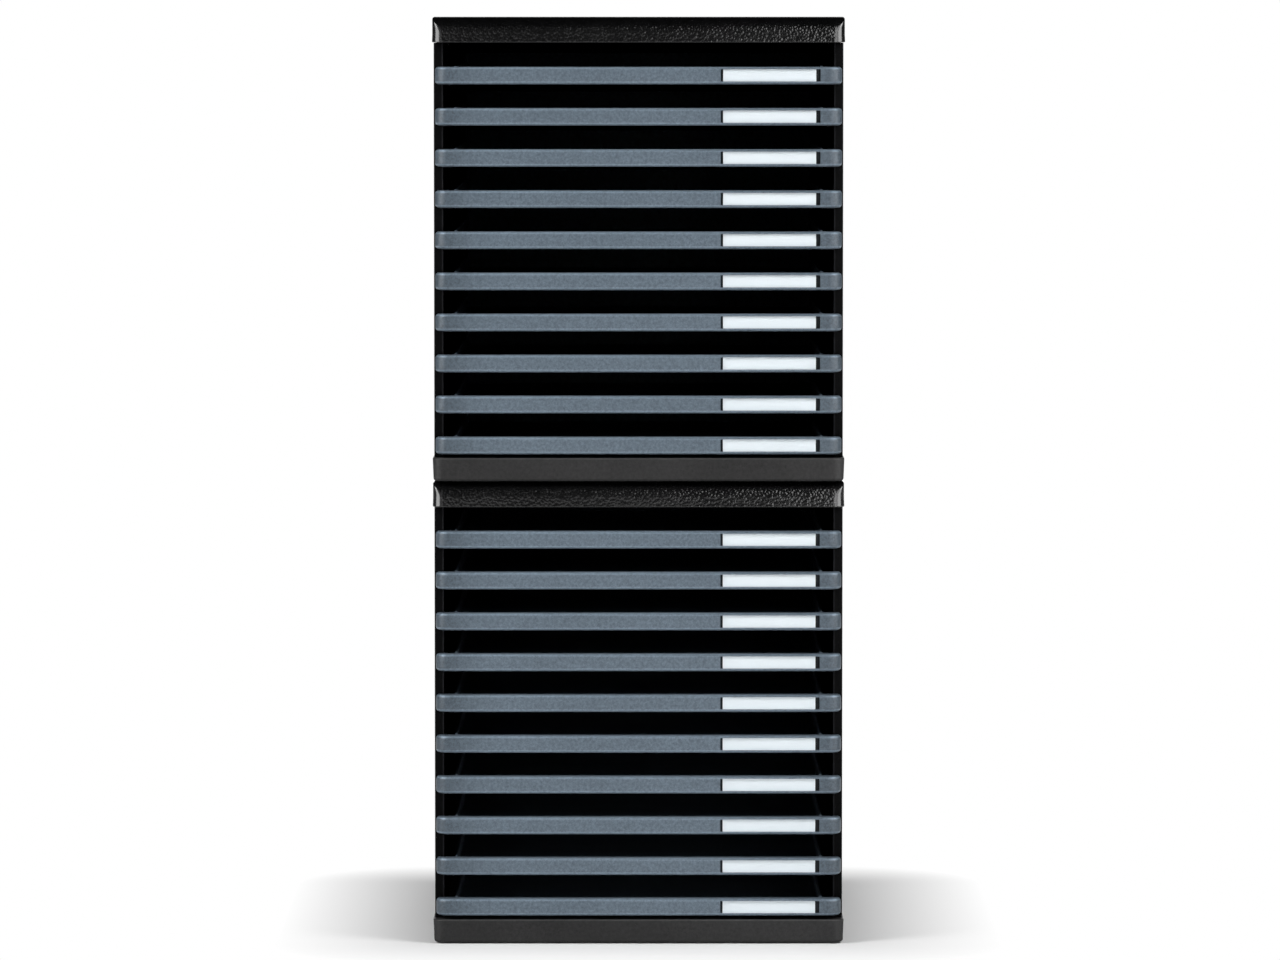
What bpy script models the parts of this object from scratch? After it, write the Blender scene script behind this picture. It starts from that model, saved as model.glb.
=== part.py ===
"""Desktop drawer tower: two equal units of ten open-fronted drawers, one unit standing on the other.

Metres, +Z up, the fronts face -Y. The origin is under the middle of the tower, on the desk.
Every moulding is built once from outlines and Booleans, and its finished mesh is shared by all its copies.
"""
import math

import bmesh
import bpy
from mathutils import Matrix, Vector

MM = 0.001

# The tower
UNIT_NAMES = ("lower", "upper")
UNIT_WIDTH = 284 * MM  # lid and plinth, side to side
UNIT_DEPTH = 350 * MM  # lid and plinth, front to back
DRAWER_COUNT = 10
DRAWER_PITCH = 28.3 * MM  # one front to the next
DRAWER_TRAVEL = 243 * MM  # how far a drawer pulls out
SEAT_GAP = 0.3 * MM  # left between pieces that touch

# Lid
LID_HEIGHT = 17.6 * MM
LID_WALL = 2.5 * MM
LID_DRAFT = 0.2 * MM  # each side leans in by this much at the top
LID_FRONT_ROUND = 12 * MM  # the rolled edge along the top of the front
LID_EDGE_ROUND = 1.8 * MM  # the other top edges
LID_CORNER = 7.5 * MM  # upright corners, in plan
LID_OVERHANG = 1 * MM  # past the side panels
LID_GAP = 16.7 * MM  # open height above the top front

# Base plinth
BASE_HEIGHT = 16 * MM
BASE_WALL = 2.5 * MM
BASE_DRAFT = 0.5 * MM  # each side leans in by this much at the bottom
BASE_EDGE_ROUND = 2 * MM  # bottom edges
BASE_CORNER = 7.5 * MM  # upright corners, in plan
BASE_GAP = 2.5 * MM  # open height under the bottom front

# Rubber feet, and the wells in the lid that the feet of a unit above stand in
FOOT_RADIUS = 8.5 * MM
FOOT_THICKNESS = 2.4 * MM
FOOT_STAND = 0.8 * MM  # how far the plinth stands off the desk
FOOT_INSET = 23 * MM  # from the plinth's sides to a foot's middle
FOOT_BOSS_RIM = 1 * MM  # a boss is this much wider than its foot, all round
WELL_CLEARANCE = 0.7 * MM  # round a foot in its well

# Side panels
PLATE = 3 * MM
POST_WIDTH = 6.4 * MM  # the front and rear edges are this thick
FRONT_POST_DEPTH = 10 * MM
REAR_POST_DEPTH = 18 * MM
BACK_RECESS = 1 * MM  # panels end this far in front of the lid's back
RUNNER_ZONE = 14 * MM  # panel's outer face to the drawer's side wall
RUNNER_THICKNESS = 1.8 * MM
RUNNER_CLEARANCE = 0.8 * MM  # runner's edge to the drawer's side wall
PEG_THICKNESS = 3 * MM
PEG_WIDTH = 7 * MM
PEG_LENGTH = 8 * MM  # into the lid and the plinth
PEG_INSET = 0.4 * MM  # from the post's inner face
SOCKET_WALL = 1.8 * MM  # round a peg, in the lid

# Back panel
BACK_THICKNESS = 2 * MM
BACK_GROOVE_DEPTH = 3 * MM
BACK_GROOVE_END = 3.4 * MM  # post left behind the groove
BACK_TONGUE = 4 * MM  # how far the panel rises into the lid
BACK_SHOULDER = 10 * MM  # the tongue's ends stop short of the panel's edges by this much

# Drawer: front bar
FRONT_SETBACK = 0.5 * MM  # behind the front of the lid
FRONT_HEIGHT = 12 * MM
FRONT_DEPTH = 10.2 * MM
FRONT_END_GAP = 0.9 * MM  # front's end to the side panel's outer face
FRONT_EDGE_ROUND = 2.6 * MM  # long edges of the face
FRONT_CORNER = 7 * MM  # upright corners, in plan
FRONT_END_ROUND = 1.5 * MM  # corners of the face
FRONT_WALL = 3.2 * MM
FRONT_TOP_WALL = 2 * MM

# Drawer: tray
TRAY_WALL = 2 * MM
TRAY_FLOOR = 2 * MM
TRAY_FLOOR_RAISE = 1.6 * MM  # floor's underside above the bottom of the front
TRAY_SIDE_DROP = 0.4 * MM  # side walls end this far below the top of the front
TRAY_LENGTH = 334 * MM  # face of the front to the back of the tray
TRAY_BACK_HEIGHT = 20 * MM
TRAY_BACK_SLOPE = 26 * MM  # length over which the side walls rise to the back
RAMP_START = 9 * MM  # behind the face, where the top of the front begins to fall to the floor
RAMP_LENGTH = 24 * MM
RAMP_STEPS = 5
FLANGE_THICKNESS = 1.8 * MM
FLANGE_CLEARANCE = 0.6 * MM  # flange's edge to the post
FLANGE_END = 4 * MM  # short of the back of the tray
STOP_LENGTH = 12 * MM  # the stop at the back of each flange
STOP_HEIGHT = 5 * MM

# Label card and its slot
CARD_WIDTH = 65.3 * MM
CARD_THICKNESS = 0.4 * MM
CARD_END_GAP = 1.6 * MM  # card's end to the end of the slot
WINDOW_HEIGHT = 8.5 * MM
WINDOW_RAISE = 0.15 * MM  # above the middle of the front
CARD_LIP = 0.3 * MM  # how far the window's edges cover the card
CARD_SETBACK = 1.2 * MM  # face of the front to the card

# Fineness
ARC_STEPS = 5
EDGE_STEPS = 3
FOOT_SIDES = 28
WELD = 0.01 * MM
CUT_MARGIN = 5 * MM  # how far a cutter stands out of what it cuts
JOIN = 0.6 * MM  # how far joined solids reach into each other
EASE = 0.05 * MM  # outlines that share a face are drawn this far apart, so that only one of them makes it
SMOOTH_ANGLE = math.radians(35)

# Worked out: heights from the bottom of a unit's feet
BASE_BOTTOM = FOOT_STAND
DECK_TOP = BASE_BOTTOM + BASE_HEIGHT
LOWEST_FRONT = DECK_TOP + BASE_GAP
LID_BOTTOM = LOWEST_FRONT + (DRAWER_COUNT - 1) * DRAWER_PITCH + FRONT_HEIGHT + LID_GAP
LID_TOP = LID_BOTTOM + LID_HEIGHT
STACK_PITCH = LID_TOP + SEAT_GAP - FOOT_STAND
PANEL_BOTTOM = DECK_TOP + SEAT_GAP
PANEL_TOP = LID_BOTTOM - SEAT_GAP
FRONT_RUNS = [LOWEST_FRONT + step * DRAWER_PITCH for step in reversed(range(DRAWER_COUNT))]

# Worked out: half widths
UNIT_HALF = UNIT_WIDTH / 2
CASE_HALF = UNIT_HALF - LID_OVERHANG
PLATE_INNER = CASE_HALF - PLATE
POST_INNER = CASE_HALF - POST_WIDTH
TRAY_OUTER = CASE_HALF - RUNNER_ZONE
TRAY_INNER = TRAY_OUTER - TRAY_WALL
RUNNER_INNER = TRAY_OUTER + RUNNER_CLEARANCE
FLANGE_OUTER = POST_INNER - FLANGE_CLEARANCE
FRONT_HALF = CASE_HALF - FRONT_END_GAP
PEG_INNER = POST_INNER + PEG_INSET
PEG_OUTER = PEG_INNER + PEG_THICKNESS

# Worked out: depths
UNIT_FRONT = -UNIT_DEPTH / 2
UNIT_BACK = UNIT_DEPTH / 2
FRONT_Y = UNIT_FRONT + FRONT_SETBACK
POST_FRONT = FRONT_Y + FRONT_DEPTH + SEAT_GAP
POST_BACK = POST_FRONT + FRONT_POST_DEPTH
PANEL_BACK = UNIT_BACK - BACK_RECESS
REAR_POST_FRONT = PANEL_BACK - REAR_POST_DEPTH
GROOVE_BACK = PANEL_BACK - BACK_GROOVE_END
GROOVE_FRONT = GROOVE_BACK - BACK_THICKNESS - 2 * SEAT_GAP
PEG_MIDS = (POST_FRONT + FRONT_POST_DEPTH / 2, (REAR_POST_FRONT + GROOVE_FRONT) / 2)
FOOT_PLACES = {
    f"{end}_{side}": (sx * (UNIT_HALF - FOOT_INSET), sy * (UNIT_BACK - FOOT_INSET))
    for end, sy in (("front", -1), ("back", 1))
    for side, sx in (("left", -1), ("right", 1))
}

# Worked out: inside a drawer, from the face and the bottom of its front
FLOOR_TOP = TRAY_FLOOR_RAISE + TRAY_FLOOR
FLANGE_TOP = TRAY_FLOOR_RAISE + FLANGE_THICKNESS
STOP_FRONT = TRAY_LENGTH - FLANGE_END - STOP_LENGTH
LOWER_RUNNER_TOP = TRAY_FLOOR_RAISE - SEAT_GAP
UPPER_RUNNER_BOTTOM = FLANGE_TOP + SEAT_GAP
UPPER_RUNNER_END = STOP_FRONT - DRAWER_TRAVEL - SEAT_GAP
WINDOW_BOTTOM = (FRONT_HEIGHT - WINDOW_HEIGHT) / 2 + WINDOW_RAISE
WINDOW_TOP = WINDOW_BOTTOM + WINDOW_HEIGHT
SLOT_RIGHT = TRAY_INNER
SLOT_LEFT = SLOT_RIGHT - CARD_WIDTH - 2 * CARD_END_GAP

# How a flat outline's own axes lie in the world
VIEWS = {
    "front": Matrix(((1, 0, 0, 0), (0, 0, -1, 0), (0, 1, 0, 0), (0, 0, 0, 1))),
    "side": Matrix(((0, 0, 1, 0), (1, 0, 0, 0), (0, 1, 0, 0), (0, 0, 0, 1))),
    "plan": Matrix.Identity(4),
}
ACROSS = {"front": Vector((0, 1, 0)), "side": Vector((1, 0, 0)), "plan": Vector((0, 0, 1))}


def collection(name):
    """Add a named collection to the scene."""
    group = bpy.data.collections.new(name)
    bpy.context.scene.collection.children.link(group)
    return group


def plastic(name, srgb, roughness):
    """Make a material from a colour as seen (0 to 255) and a roughness."""
    material = bpy.data.materials.new(name)
    material.use_nodes = True
    shader = material.node_tree.nodes["Principled BSDF"]
    linear = [((c / 255 + 0.055) / 1.055) ** 2.4 if c > 10 else c / 255 / 12.92 for c in srgb]
    shader.inputs["Base Color"].default_value = (*linear, 1)
    shader.inputs["Roughness"].default_value = roughness
    shader.inputs["Metallic"].default_value = 0
    return material


def rounded(corners, steps):
    """Points of a closed outline of (u, v, radius) corners, each turned by an arc that touches its sides."""
    points = []
    for index, (u, v, radius) in enumerate(corners):
        corner = Vector((u, v))
        before = (Vector(corners[index - 1][:2]) - corner).normalized()
        after = (Vector(corners[(index + 1) % len(corners)][:2]) - corner).normalized()
        if radius <= 0:
            points.append(corner)
            continue
        half = before.angle(after) / 2
        centre = corner + (before + after).normalized() * radius / math.sin(half)
        spoke = corner + before * radius / math.tan(half) - centre
        turn = math.copysign(math.pi - 2 * half, before.x * after.y - before.y * after.x)
        for step in range(steps + 1):
            points.append(centre + Matrix.Rotation(-turn * step / steps, 2) @ spoke)
    return points


def rectangle(u0, u1, v0, v1, lower=0.0, upper=0.0):
    """Corners of an upright rectangle, with one radius for the lower pair and one for the upper pair."""
    return [(u0, v0, lower), (u1, v0, lower), (u1, v1, upper), (u0, v1, upper)]


def body(name, mesh, group):
    """Put a mesh in the scene as a tool: not rendered, drawn as wire."""
    tool = bpy.data.objects.new(name, mesh)
    tool.hide_render = True
    tool.display_type = "WIRE"
    group.objects.link(tool)
    return tool


def finished(tool):
    """The closed mesh of an object after its curve settings, modifiers and placing."""
    bpy.context.view_layer.update()
    evaluated = tool.evaluated_get(bpy.context.evaluated_depsgraph_get())
    mesh = bpy.data.meshes.new_from_object(evaluated)
    mesh.transform(tool.matrix_world)
    shape = bmesh.new()
    shape.from_mesh(mesh)
    bmesh.ops.remove_doubles(shape, verts=shape.verts, dist=WELD)
    bmesh.ops.dissolve_degenerate(shape, edges=shape.edges, dist=WELD)
    bmesh.ops.recalc_face_normals(shape, faces=shape.faces)
    shape.to_mesh(mesh)
    shape.free()
    mesh.name = tool.name
    return mesh


def slab(name, points, start, end, view, group):
    """Carry a flat outline straight across its view, from start to end."""
    curve = bpy.data.curves.new(name, "CURVE")
    curve.dimensions = "2D"
    curve.fill_mode = "BOTH"
    curve.extrude = (end - start) / 2
    spline = curve.splines.new("POLY")
    spline.points.add(len(points) - 1)
    for place, (u, v) in zip(spline.points, points):
        place.co = (u, v, 0, 1)
    spline.use_cyclic_u = True
    drawn = body(name, curve, group)
    drawn.matrix_world = Matrix.Translation(ACROSS[view] * (start + end) / 2) @ VIEWS[view]
    mesh = finished(drawn)
    bpy.data.objects.remove(drawn)
    return body(name, mesh, group)


def boxes(name, spans, group):
    """One tool of separate boxes, each given as ((x0, x1), (y0, y1), (z0, z1))."""
    shape = bmesh.new()
    for span in spans:
        low = Vector([min(pair) for pair in span])
        high = Vector([max(pair) for pair in span])
        place = Matrix.Translation((low + high) / 2) @ Matrix.Diagonal((*(high - low), 1))
        bmesh.ops.create_cube(shape, size=1, matrix=place)
    mesh = bpy.data.meshes.new(name)
    shape.to_mesh(mesh)
    shape.free()
    return body(name, mesh, group)


def discs(name, places, radius, bottom, top, group):
    """One tool of separate upright cylinders."""
    shape = bmesh.new()
    for x, y in places:
        bmesh.ops.create_cone(
            shape,
            cap_ends=True,
            segments=FOOT_SIDES,
            radius1=radius,
            radius2=radius,
            depth=top - bottom,
            matrix=Matrix.Translation((x, y, (bottom + top) / 2)),
        )
    mesh = bpy.data.meshes.new(name)
    shape.to_mesh(mesh)
    shape.free()
    return body(name, mesh, group)


def combine(base, operation, *tools):
    """Join, cut or intersect a body with tools, in turn."""
    for tool in tools:
        change = base.modifiers.new(tool.name, "BOOLEAN")
        change.operation = operation
        change.solver = "EXACT"
        change.object = tool
    return base


def rounded_plan(half, front, back, radius):
    """Plan outline with four rounded corners, eased clear of the sides that it meets."""
    corners = rectangle(-half - EASE, half + EASE, front - EASE, back + EASE, radius, radius)
    return rounded(corners, ARC_STEPS)


def three_view(name, front, side, plan, group):
    """The body with the given front, side and plan outlines: what their three slabs share."""
    depths = [point[0] for point in side]
    widths = [point[0] for point in front]
    heights = [point[1] for point in front]
    deep = slab(name, front, min(depths) - CUT_MARGIN, max(depths) + CUT_MARGIN, "front", group)
    wide = slab(name + "_side", side, min(widths) - CUT_MARGIN, max(widths) + CUT_MARGIN, "side", group)
    tall = slab(name + "_plan", plan, min(heights) - CUT_MARGIN, max(heights) + CUT_MARGIN, "plan", group)
    return combine(deep, "INTERSECT", wide, tall)


def peg_spans(side, low, high, spread=0.0):
    """Boxes of one side panel's two pegs between two heights, grown all round by spread."""
    return [
        (
            (side * (PEG_INNER - spread), side * (PEG_OUTER + spread)),
            (mid - PEG_WIDTH / 2 - spread, mid + PEG_WIDTH / 2 + spread),
            (low, high),
        )
        for mid in PEG_MIDS
    ]


def lid_mesh(group):
    """Hollow lid: rolled front edge, sockets for the side panels' pegs, wells for the feet of a unit above."""
    top_half = UNIT_HALF - LID_DRAFT
    front = [
        (-UNIT_HALF, LID_BOTTOM, 0),
        (UNIT_HALF, LID_BOTTOM, 0),
        (top_half, LID_TOP, LID_EDGE_ROUND),
        (-top_half, LID_TOP, LID_EDGE_ROUND),
    ]
    side = [
        (UNIT_FRONT, LID_BOTTOM - EASE, 0),
        (UNIT_BACK, LID_BOTTOM - EASE, 0),
        (UNIT_BACK, LID_TOP + EASE, LID_EDGE_ROUND),
        (UNIT_FRONT, LID_TOP + EASE, LID_FRONT_ROUND),
    ]
    plan = rounded_plan(UNIT_HALF, UNIT_FRONT, UNIT_BACK, LID_CORNER)
    lid = three_view("lid", rounded(front, EDGE_STEPS), rounded(side, ARC_STEPS), plan, group)
    inner_half = top_half - LID_WALL
    inner_top = LID_TOP - LID_WALL
    inner_front = UNIT_FRONT + LID_WALL
    inner_back = UNIT_BACK - LID_WALL
    below = LID_BOTTOM - CUT_MARGIN
    hollow_side = [
        (inner_front, below - EASE, 0),
        (inner_back, below - EASE, 0),
        (inner_back, inner_top + EASE, 0),
        (inner_front, inner_top + EASE, LID_FRONT_ROUND - LID_WALL),
    ]
    hollow = three_view(
        "lid_hollow",
        rounded(rectangle(-inner_half, inner_half, below, inner_top), 1),
        rounded(hollow_side, ARC_STEPS),
        rounded_plan(inner_half, inner_front, inner_back, LID_CORNER - LID_WALL),
        group,
    )
    sockets = []
    holes = []
    for hand in (-1, 1):
        for across, along, _ in peg_spans(hand, 0, 0, SEAT_GAP + SOCKET_WALL):
            reach = hand * (inner_half + JOIN)
            inner = min(across, key=abs)
            sockets.append(((inner, reach), along, (LID_BOTTOM + SEAT_GAP, inner_top + JOIN)))
        holes += peg_spans(hand, below, PANEL_TOP + PEG_LENGTH + SEAT_GAP, SEAT_GAP)
    combine(lid, "DIFFERENCE", hollow)
    combine(lid, "UNION", boxes("lid_sockets", sockets, group))
    combine(lid, "DIFFERENCE", boxes("lid_peg_holes", holes, group))
    wells = discs(
        "lid_wells",
        FOOT_PLACES.values(),
        FOOT_RADIUS + WELL_CLEARANCE,
        LID_TOP - FOOT_STAND,
        LID_TOP + CUT_MARGIN,
        group,
    )
    return finished(combine(lid, "DIFFERENCE", wells))


def base_mesh(group):
    """Hollow plinth: a deck with slots for the side panels' pegs, a skirt, and bosses for the feet."""
    bottom_half = UNIT_HALF - BASE_DRAFT
    bottom_front = UNIT_FRONT + BASE_DRAFT
    bottom_back = UNIT_BACK - BASE_DRAFT
    front = [
        (-bottom_half, BASE_BOTTOM, BASE_EDGE_ROUND),
        (bottom_half, BASE_BOTTOM, BASE_EDGE_ROUND),
        (UNIT_HALF, DECK_TOP, 0),
        (-UNIT_HALF, DECK_TOP, 0),
    ]
    side = [
        (bottom_front, BASE_BOTTOM - EASE, BASE_EDGE_ROUND),
        (bottom_back, BASE_BOTTOM - EASE, BASE_EDGE_ROUND),
        (UNIT_BACK, DECK_TOP + EASE, 0),
        (UNIT_FRONT, DECK_TOP + EASE, 0),
    ]
    plan = rounded_plan(UNIT_HALF, UNIT_FRONT, UNIT_BACK, BASE_CORNER)
    base = three_view("base", rounded(front, EDGE_STEPS), rounded(side, EDGE_STEPS), plan, group)
    hollow_plan = rounded_plan(
        bottom_half - BASE_WALL, bottom_front + BASE_WALL, bottom_back - BASE_WALL, BASE_CORNER - BASE_WALL
    )
    deck_under = DECK_TOP - BASE_WALL
    hollow = slab("base_hollow", hollow_plan, BASE_BOTTOM - CUT_MARGIN, deck_under, "plan", group)
    bosses = discs(
        "base_bosses",
        FOOT_PLACES.values(),
        FOOT_RADIUS + FOOT_BOSS_RIM,
        FOOT_THICKNESS + SEAT_GAP,
        deck_under + JOIN,
        group,
    )
    slots = []
    for hand in (-1, 1):
        slots += peg_spans(hand, deck_under - CUT_MARGIN, DECK_TOP + CUT_MARGIN, SEAT_GAP)
    combine(base, "DIFFERENCE", hollow)
    combine(base, "UNION", bosses)
    return finished(combine(base, "DIFFERENCE", boxes("base_slots", slots, group)))


def side_mesh(name, hand, group):
    """Side panel: plate, posts, the groove for the back panel, a pair of runners for each drawer, and pegs."""
    outline = [
        (CASE_HALF, POST_FRONT),
        (CASE_HALF, PANEL_BACK),
        (POST_INNER, PANEL_BACK),
        (POST_INNER, GROOVE_BACK),
        (POST_INNER + BACK_GROOVE_DEPTH, GROOVE_BACK),
        (POST_INNER + BACK_GROOVE_DEPTH, GROOVE_FRONT),
        (POST_INNER, GROOVE_FRONT),
        (POST_INNER, REAR_POST_FRONT),
        (PLATE_INNER, REAR_POST_FRONT),
        (PLATE_INNER, POST_BACK),
        (POST_INNER, POST_BACK),
        (POST_INNER, POST_FRONT),
    ]
    panel = slab(name, [(hand * x, y) for x, y in outline], PANEL_BOTTOM, PANEL_TOP, "plan", group)
    across = (hand * RUNNER_INNER, hand * (PLATE_INNER + JOIN))
    start = POST_FRONT + SEAT_GAP
    joined = []
    for run in FRONT_RUNS:
        lower = run + LOWER_RUNNER_TOP
        upper = run + UPPER_RUNNER_BOTTOM
        joined.append((across, (start, REAR_POST_FRONT + JOIN), (lower - RUNNER_THICKNESS, lower)))
        joined.append((across, (start, FRONT_Y + UPPER_RUNNER_END), (upper, upper + RUNNER_THICKNESS)))
    joined += peg_spans(hand, PANEL_BOTTOM - PEG_LENGTH, PANEL_BOTTOM + JOIN)
    joined += peg_spans(hand, PANEL_TOP - JOIN, PANEL_TOP + PEG_LENGTH)
    return finished(combine(panel, "UNION", boxes(name + "_runners", joined, group)))


def back_mesh(group):
    """Flat back panel in the side panels' grooves, with a tongue that rises into the lid."""
    half = POST_INNER + BACK_GROOVE_DEPTH - SEAT_GAP
    tongue = half - BACK_SHOULDER
    outline = [
        (-half, PANEL_BOTTOM),
        (half, PANEL_BOTTOM),
        (half, PANEL_TOP),
        (tongue, PANEL_TOP),
        (tongue, PANEL_TOP + BACK_TONGUE),
        (-tongue, PANEL_TOP + BACK_TONGUE),
        (-tongue, PANEL_TOP),
        (-half, PANEL_TOP),
    ]
    front = GROOVE_FRONT + SEAT_GAP
    return finished(slab("back_panel", outline, front, front + BACK_THICKNESS, "front", group))


def foot_mesh(group):
    """Round rubber foot."""
    return finished(discs("foot", [(0, 0)], FOOT_RADIUS, 0, FOOT_THICKNESS, group))


def ramp(start, top):
    """Side-view points of a half wave that falls by the depth of the tray, from (start, top)."""
    points = []
    for step in range(RAMP_STEPS + 1):
        part = step / RAMP_STEPS
        fall = (FRONT_HEIGHT - FLOOR_TOP) * (1 - math.cos(math.pi * part)) / 2
        points.append(Vector((start + RAMP_LENGTH * part, top - fall)))
    return points


def run_on(before, last):
    """The point one step further on, in line with the last two, so that a cutter passes the face it cuts."""
    return last * 2 - before


def drawer_mesh(group):
    """Drawer in one moulding: hollow front bar with a label slot, ramp, tray, flanges and stops."""
    front = rectangle(-FRONT_HALF, FRONT_HALF, 0, FRONT_HEIGHT, FRONT_END_ROUND, FRONT_END_ROUND)
    side = [
        (0, -EASE, FRONT_EDGE_ROUND),
        (FRONT_DEPTH, -EASE, 0),
        (FRONT_DEPTH, FRONT_HEIGHT + EASE, 0),
        (0, FRONT_HEIGHT + EASE, FRONT_EDGE_ROUND),
    ]
    plan = rectangle(-FRONT_HALF - EASE, FRONT_HALF + EASE, -EASE, FRONT_DEPTH + EASE, FRONT_CORNER, 0)
    bar = three_view("drawer", rounded(front, 2), rounded(side, EDGE_STEPS), rounded(plan, ARC_STEPS), group)

    well_back = TRAY_LENGTH - TRAY_WALL
    side_top = FRONT_HEIGHT - TRAY_SIDE_DROP
    tray_start = FRONT_WALL + JOIN
    tray_outline = [
        (tray_start, TRAY_FLOOR_RAISE),
        (TRAY_LENGTH, TRAY_FLOOR_RAISE),
        (TRAY_LENGTH, TRAY_BACK_HEIGHT),
        (well_back, TRAY_BACK_HEIGHT),
        (well_back - TRAY_BACK_SLOPE, side_top),
        (tray_start, side_top),
    ]
    tray = slab("drawer_tray", tray_outline, -TRAY_OUTER, TRAY_OUTER, "side", group)
    flange_end = TRAY_LENGTH - FLANGE_END
    flange_outline = [
        (FRONT_DEPTH - JOIN, TRAY_FLOOR_RAISE),
        (flange_end, TRAY_FLOOR_RAISE),
        (flange_end, FLANGE_TOP + STOP_HEIGHT),
        (STOP_FRONT, FLANGE_TOP + STOP_HEIGHT),
        (STOP_FRONT, FLANGE_TOP),
        (FRONT_DEPTH - JOIN, FLANGE_TOP),
    ]
    flanges = []
    for hand in (-1, 1):
        start, end = sorted((hand * (TRAY_OUTER - JOIN), hand * FLANGE_OUTER))
        flanges.append(slab("drawer_flange", flange_outline, start, end, "side", group))

    above = TRAY_BACK_HEIGHT + CUT_MARGIN
    over = ramp(RAMP_START, FRONT_HEIGHT)
    over[0] = run_on(over[1], over[0])
    well_outline = over + [(well_back, FLOOR_TOP), (well_back, above), (over[0].x, above)]
    well = slab("drawer_well", well_outline, -TRAY_INNER, TRAY_INNER, "side", group)
    under = ramp(RAMP_START - FRONT_TOP_WALL, FRONT_HEIGHT - FRONT_TOP_WALL)
    under[-1] = run_on(under[-2], under[-1])
    hollow_outline = [(FRONT_WALL, under[0].y), *under, (under[-1].x, -CUT_MARGIN), (FRONT_WALL, -CUT_MARGIN)]
    hollow = slab("drawer_hollow", hollow_outline, -TRAY_INNER, TRAY_INNER, "side", group)
    ear_hollows = [
        (
            (hand * (TRAY_OUTER + TRAY_WALL), hand * (FRONT_HALF - FRONT_WALL)),
            (FRONT_WALL, FRONT_DEPTH - FRONT_TOP_WALL),
            (-CUT_MARGIN, FRONT_HEIGHT - FRONT_TOP_WALL),
        )
        for hand in (-1, 1)
    ]
    slot_front = CARD_SETBACK - SEAT_GAP
    slot_back = CARD_SETBACK + CARD_THICKNESS + SEAT_GAP
    slot_rise = CARD_LIP + SEAT_GAP
    slot_outline = [
        (-CUT_MARGIN, WINDOW_BOTTOM),
        (slot_front, WINDOW_BOTTOM),
        (slot_front, WINDOW_BOTTOM - slot_rise),
        (slot_back, WINDOW_BOTTOM - slot_rise),
        (slot_back, WINDOW_TOP + slot_rise),
        (slot_front, WINDOW_TOP + slot_rise),
        (slot_front, WINDOW_TOP),
        (-CUT_MARGIN, WINDOW_TOP),
    ]
    slot = slab("drawer_slot", slot_outline, SLOT_LEFT, SLOT_RIGHT, "side", group)
    combine(bar, "UNION", tray, *flanges)
    return finished(combine(bar, "DIFFERENCE", well, hollow, boxes("drawer_ears", ear_hollows, group), slot))


def label_mesh(group):
    """Thin card in a drawer front's slot."""
    left = SLOT_LEFT + CARD_END_GAP
    span = (
        (left, left + CARD_WIDTH),
        (CARD_SETBACK, CARD_SETBACK + CARD_THICKNESS),
        (WINDOW_BOTTOM - CARD_LIP, WINDOW_TOP + CARD_LIP),
    )
    return finished(boxes("label", [span], group))


def place(name, mesh, parent, group, where=(0, 0, 0)):
    """Put a named copy of a mesh under its parent."""
    part = bpy.data.objects.new(name, mesh)
    part.parent = parent
    part.location = where
    group.objects.link(part)
    return part


def main():
    """Build each moulding once, then place the pieces of both units."""
    for old in list(bpy.data.objects):
        bpy.data.objects.remove(old)
    parts = collection("desktop_drawer_tower")
    tools = collection("cutters")

    materials = {
        "lid": plastic("black_grained_plastic", (34, 34, 36), 0.5),
        "base": plastic("black_satin_plastic", (42, 42, 44), 0.45),
        "panel": plastic("black_plastic", (30, 30, 32), 0.55),
        "drawer": plastic("grey_plastic", (108, 119, 128), 0.5),
        "label": plastic("white_card", (232, 240, 244), 0.8),
        "foot": plastic("black_rubber", (24, 24, 24), 0.85),
    }
    meshes = {
        "lid": (lid_mesh(tools), "lid"),
        "base": (base_mesh(tools), "base"),
        "left_side": (side_mesh("left_side", -1, tools), "panel"),
        "right_side": (side_mesh("right_side", 1, tools), "panel"),
        "back_panel": (back_mesh(tools), "panel"),
        "foot": (foot_mesh(tools), "foot"),
        "drawer": (drawer_mesh(tools), "drawer"),
        "label": (label_mesh(tools), "label"),
    }
    for mesh, finish in meshes.values():
        mesh.materials.clear()
        mesh.materials.append(materials[finish])
        mesh.shade_smooth()
        mesh.set_sharp_from_angle(angle=SMOOTH_ANGLE)

    for level, unit in enumerate(UNIT_NAMES):
        carrier = place(f"{unit}_unit", None, None, parts, (0, 0, level * STACK_PITCH))
        for piece in ("base", "left_side", "right_side", "back_panel", "lid"):
            place(f"{unit}_{piece}", meshes[piece][0], carrier, parts)
        for corner, (x, y) in FOOT_PLACES.items():
            place(f"{unit}_foot_{corner}", meshes["foot"][0], carrier, parts, (x, y, 0))
        for number, run in enumerate(FRONT_RUNS, start=1):
            where = (0, FRONT_Y, run)
            drawer = place(f"{unit}_drawer_{number:02d}", meshes["drawer"][0], carrier, parts, where)
            place(f"{unit}_label_{number:02d}", meshes["label"][0], drawer, parts)


if __name__ == "__main__":
    main()
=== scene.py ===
"""Looks of the desktop drawer tower: two stacked units, each with ten open-fronted drawers.

Metres, +Z up, the fronts face -Y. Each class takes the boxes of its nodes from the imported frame, shapes
finer meshes as whole arrays (grids, and outlines carried along profiles) and dresses them in procedural
finishes.
"""

import logging
import math
from dataclasses import dataclass
from enum import Enum
from typing import Callable, ClassVar, NamedTuple, Sequence

import bmesh
import bpy
import numpy as np
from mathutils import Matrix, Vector
from mathutils.geometry import delaunay_2d_cdt

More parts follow.
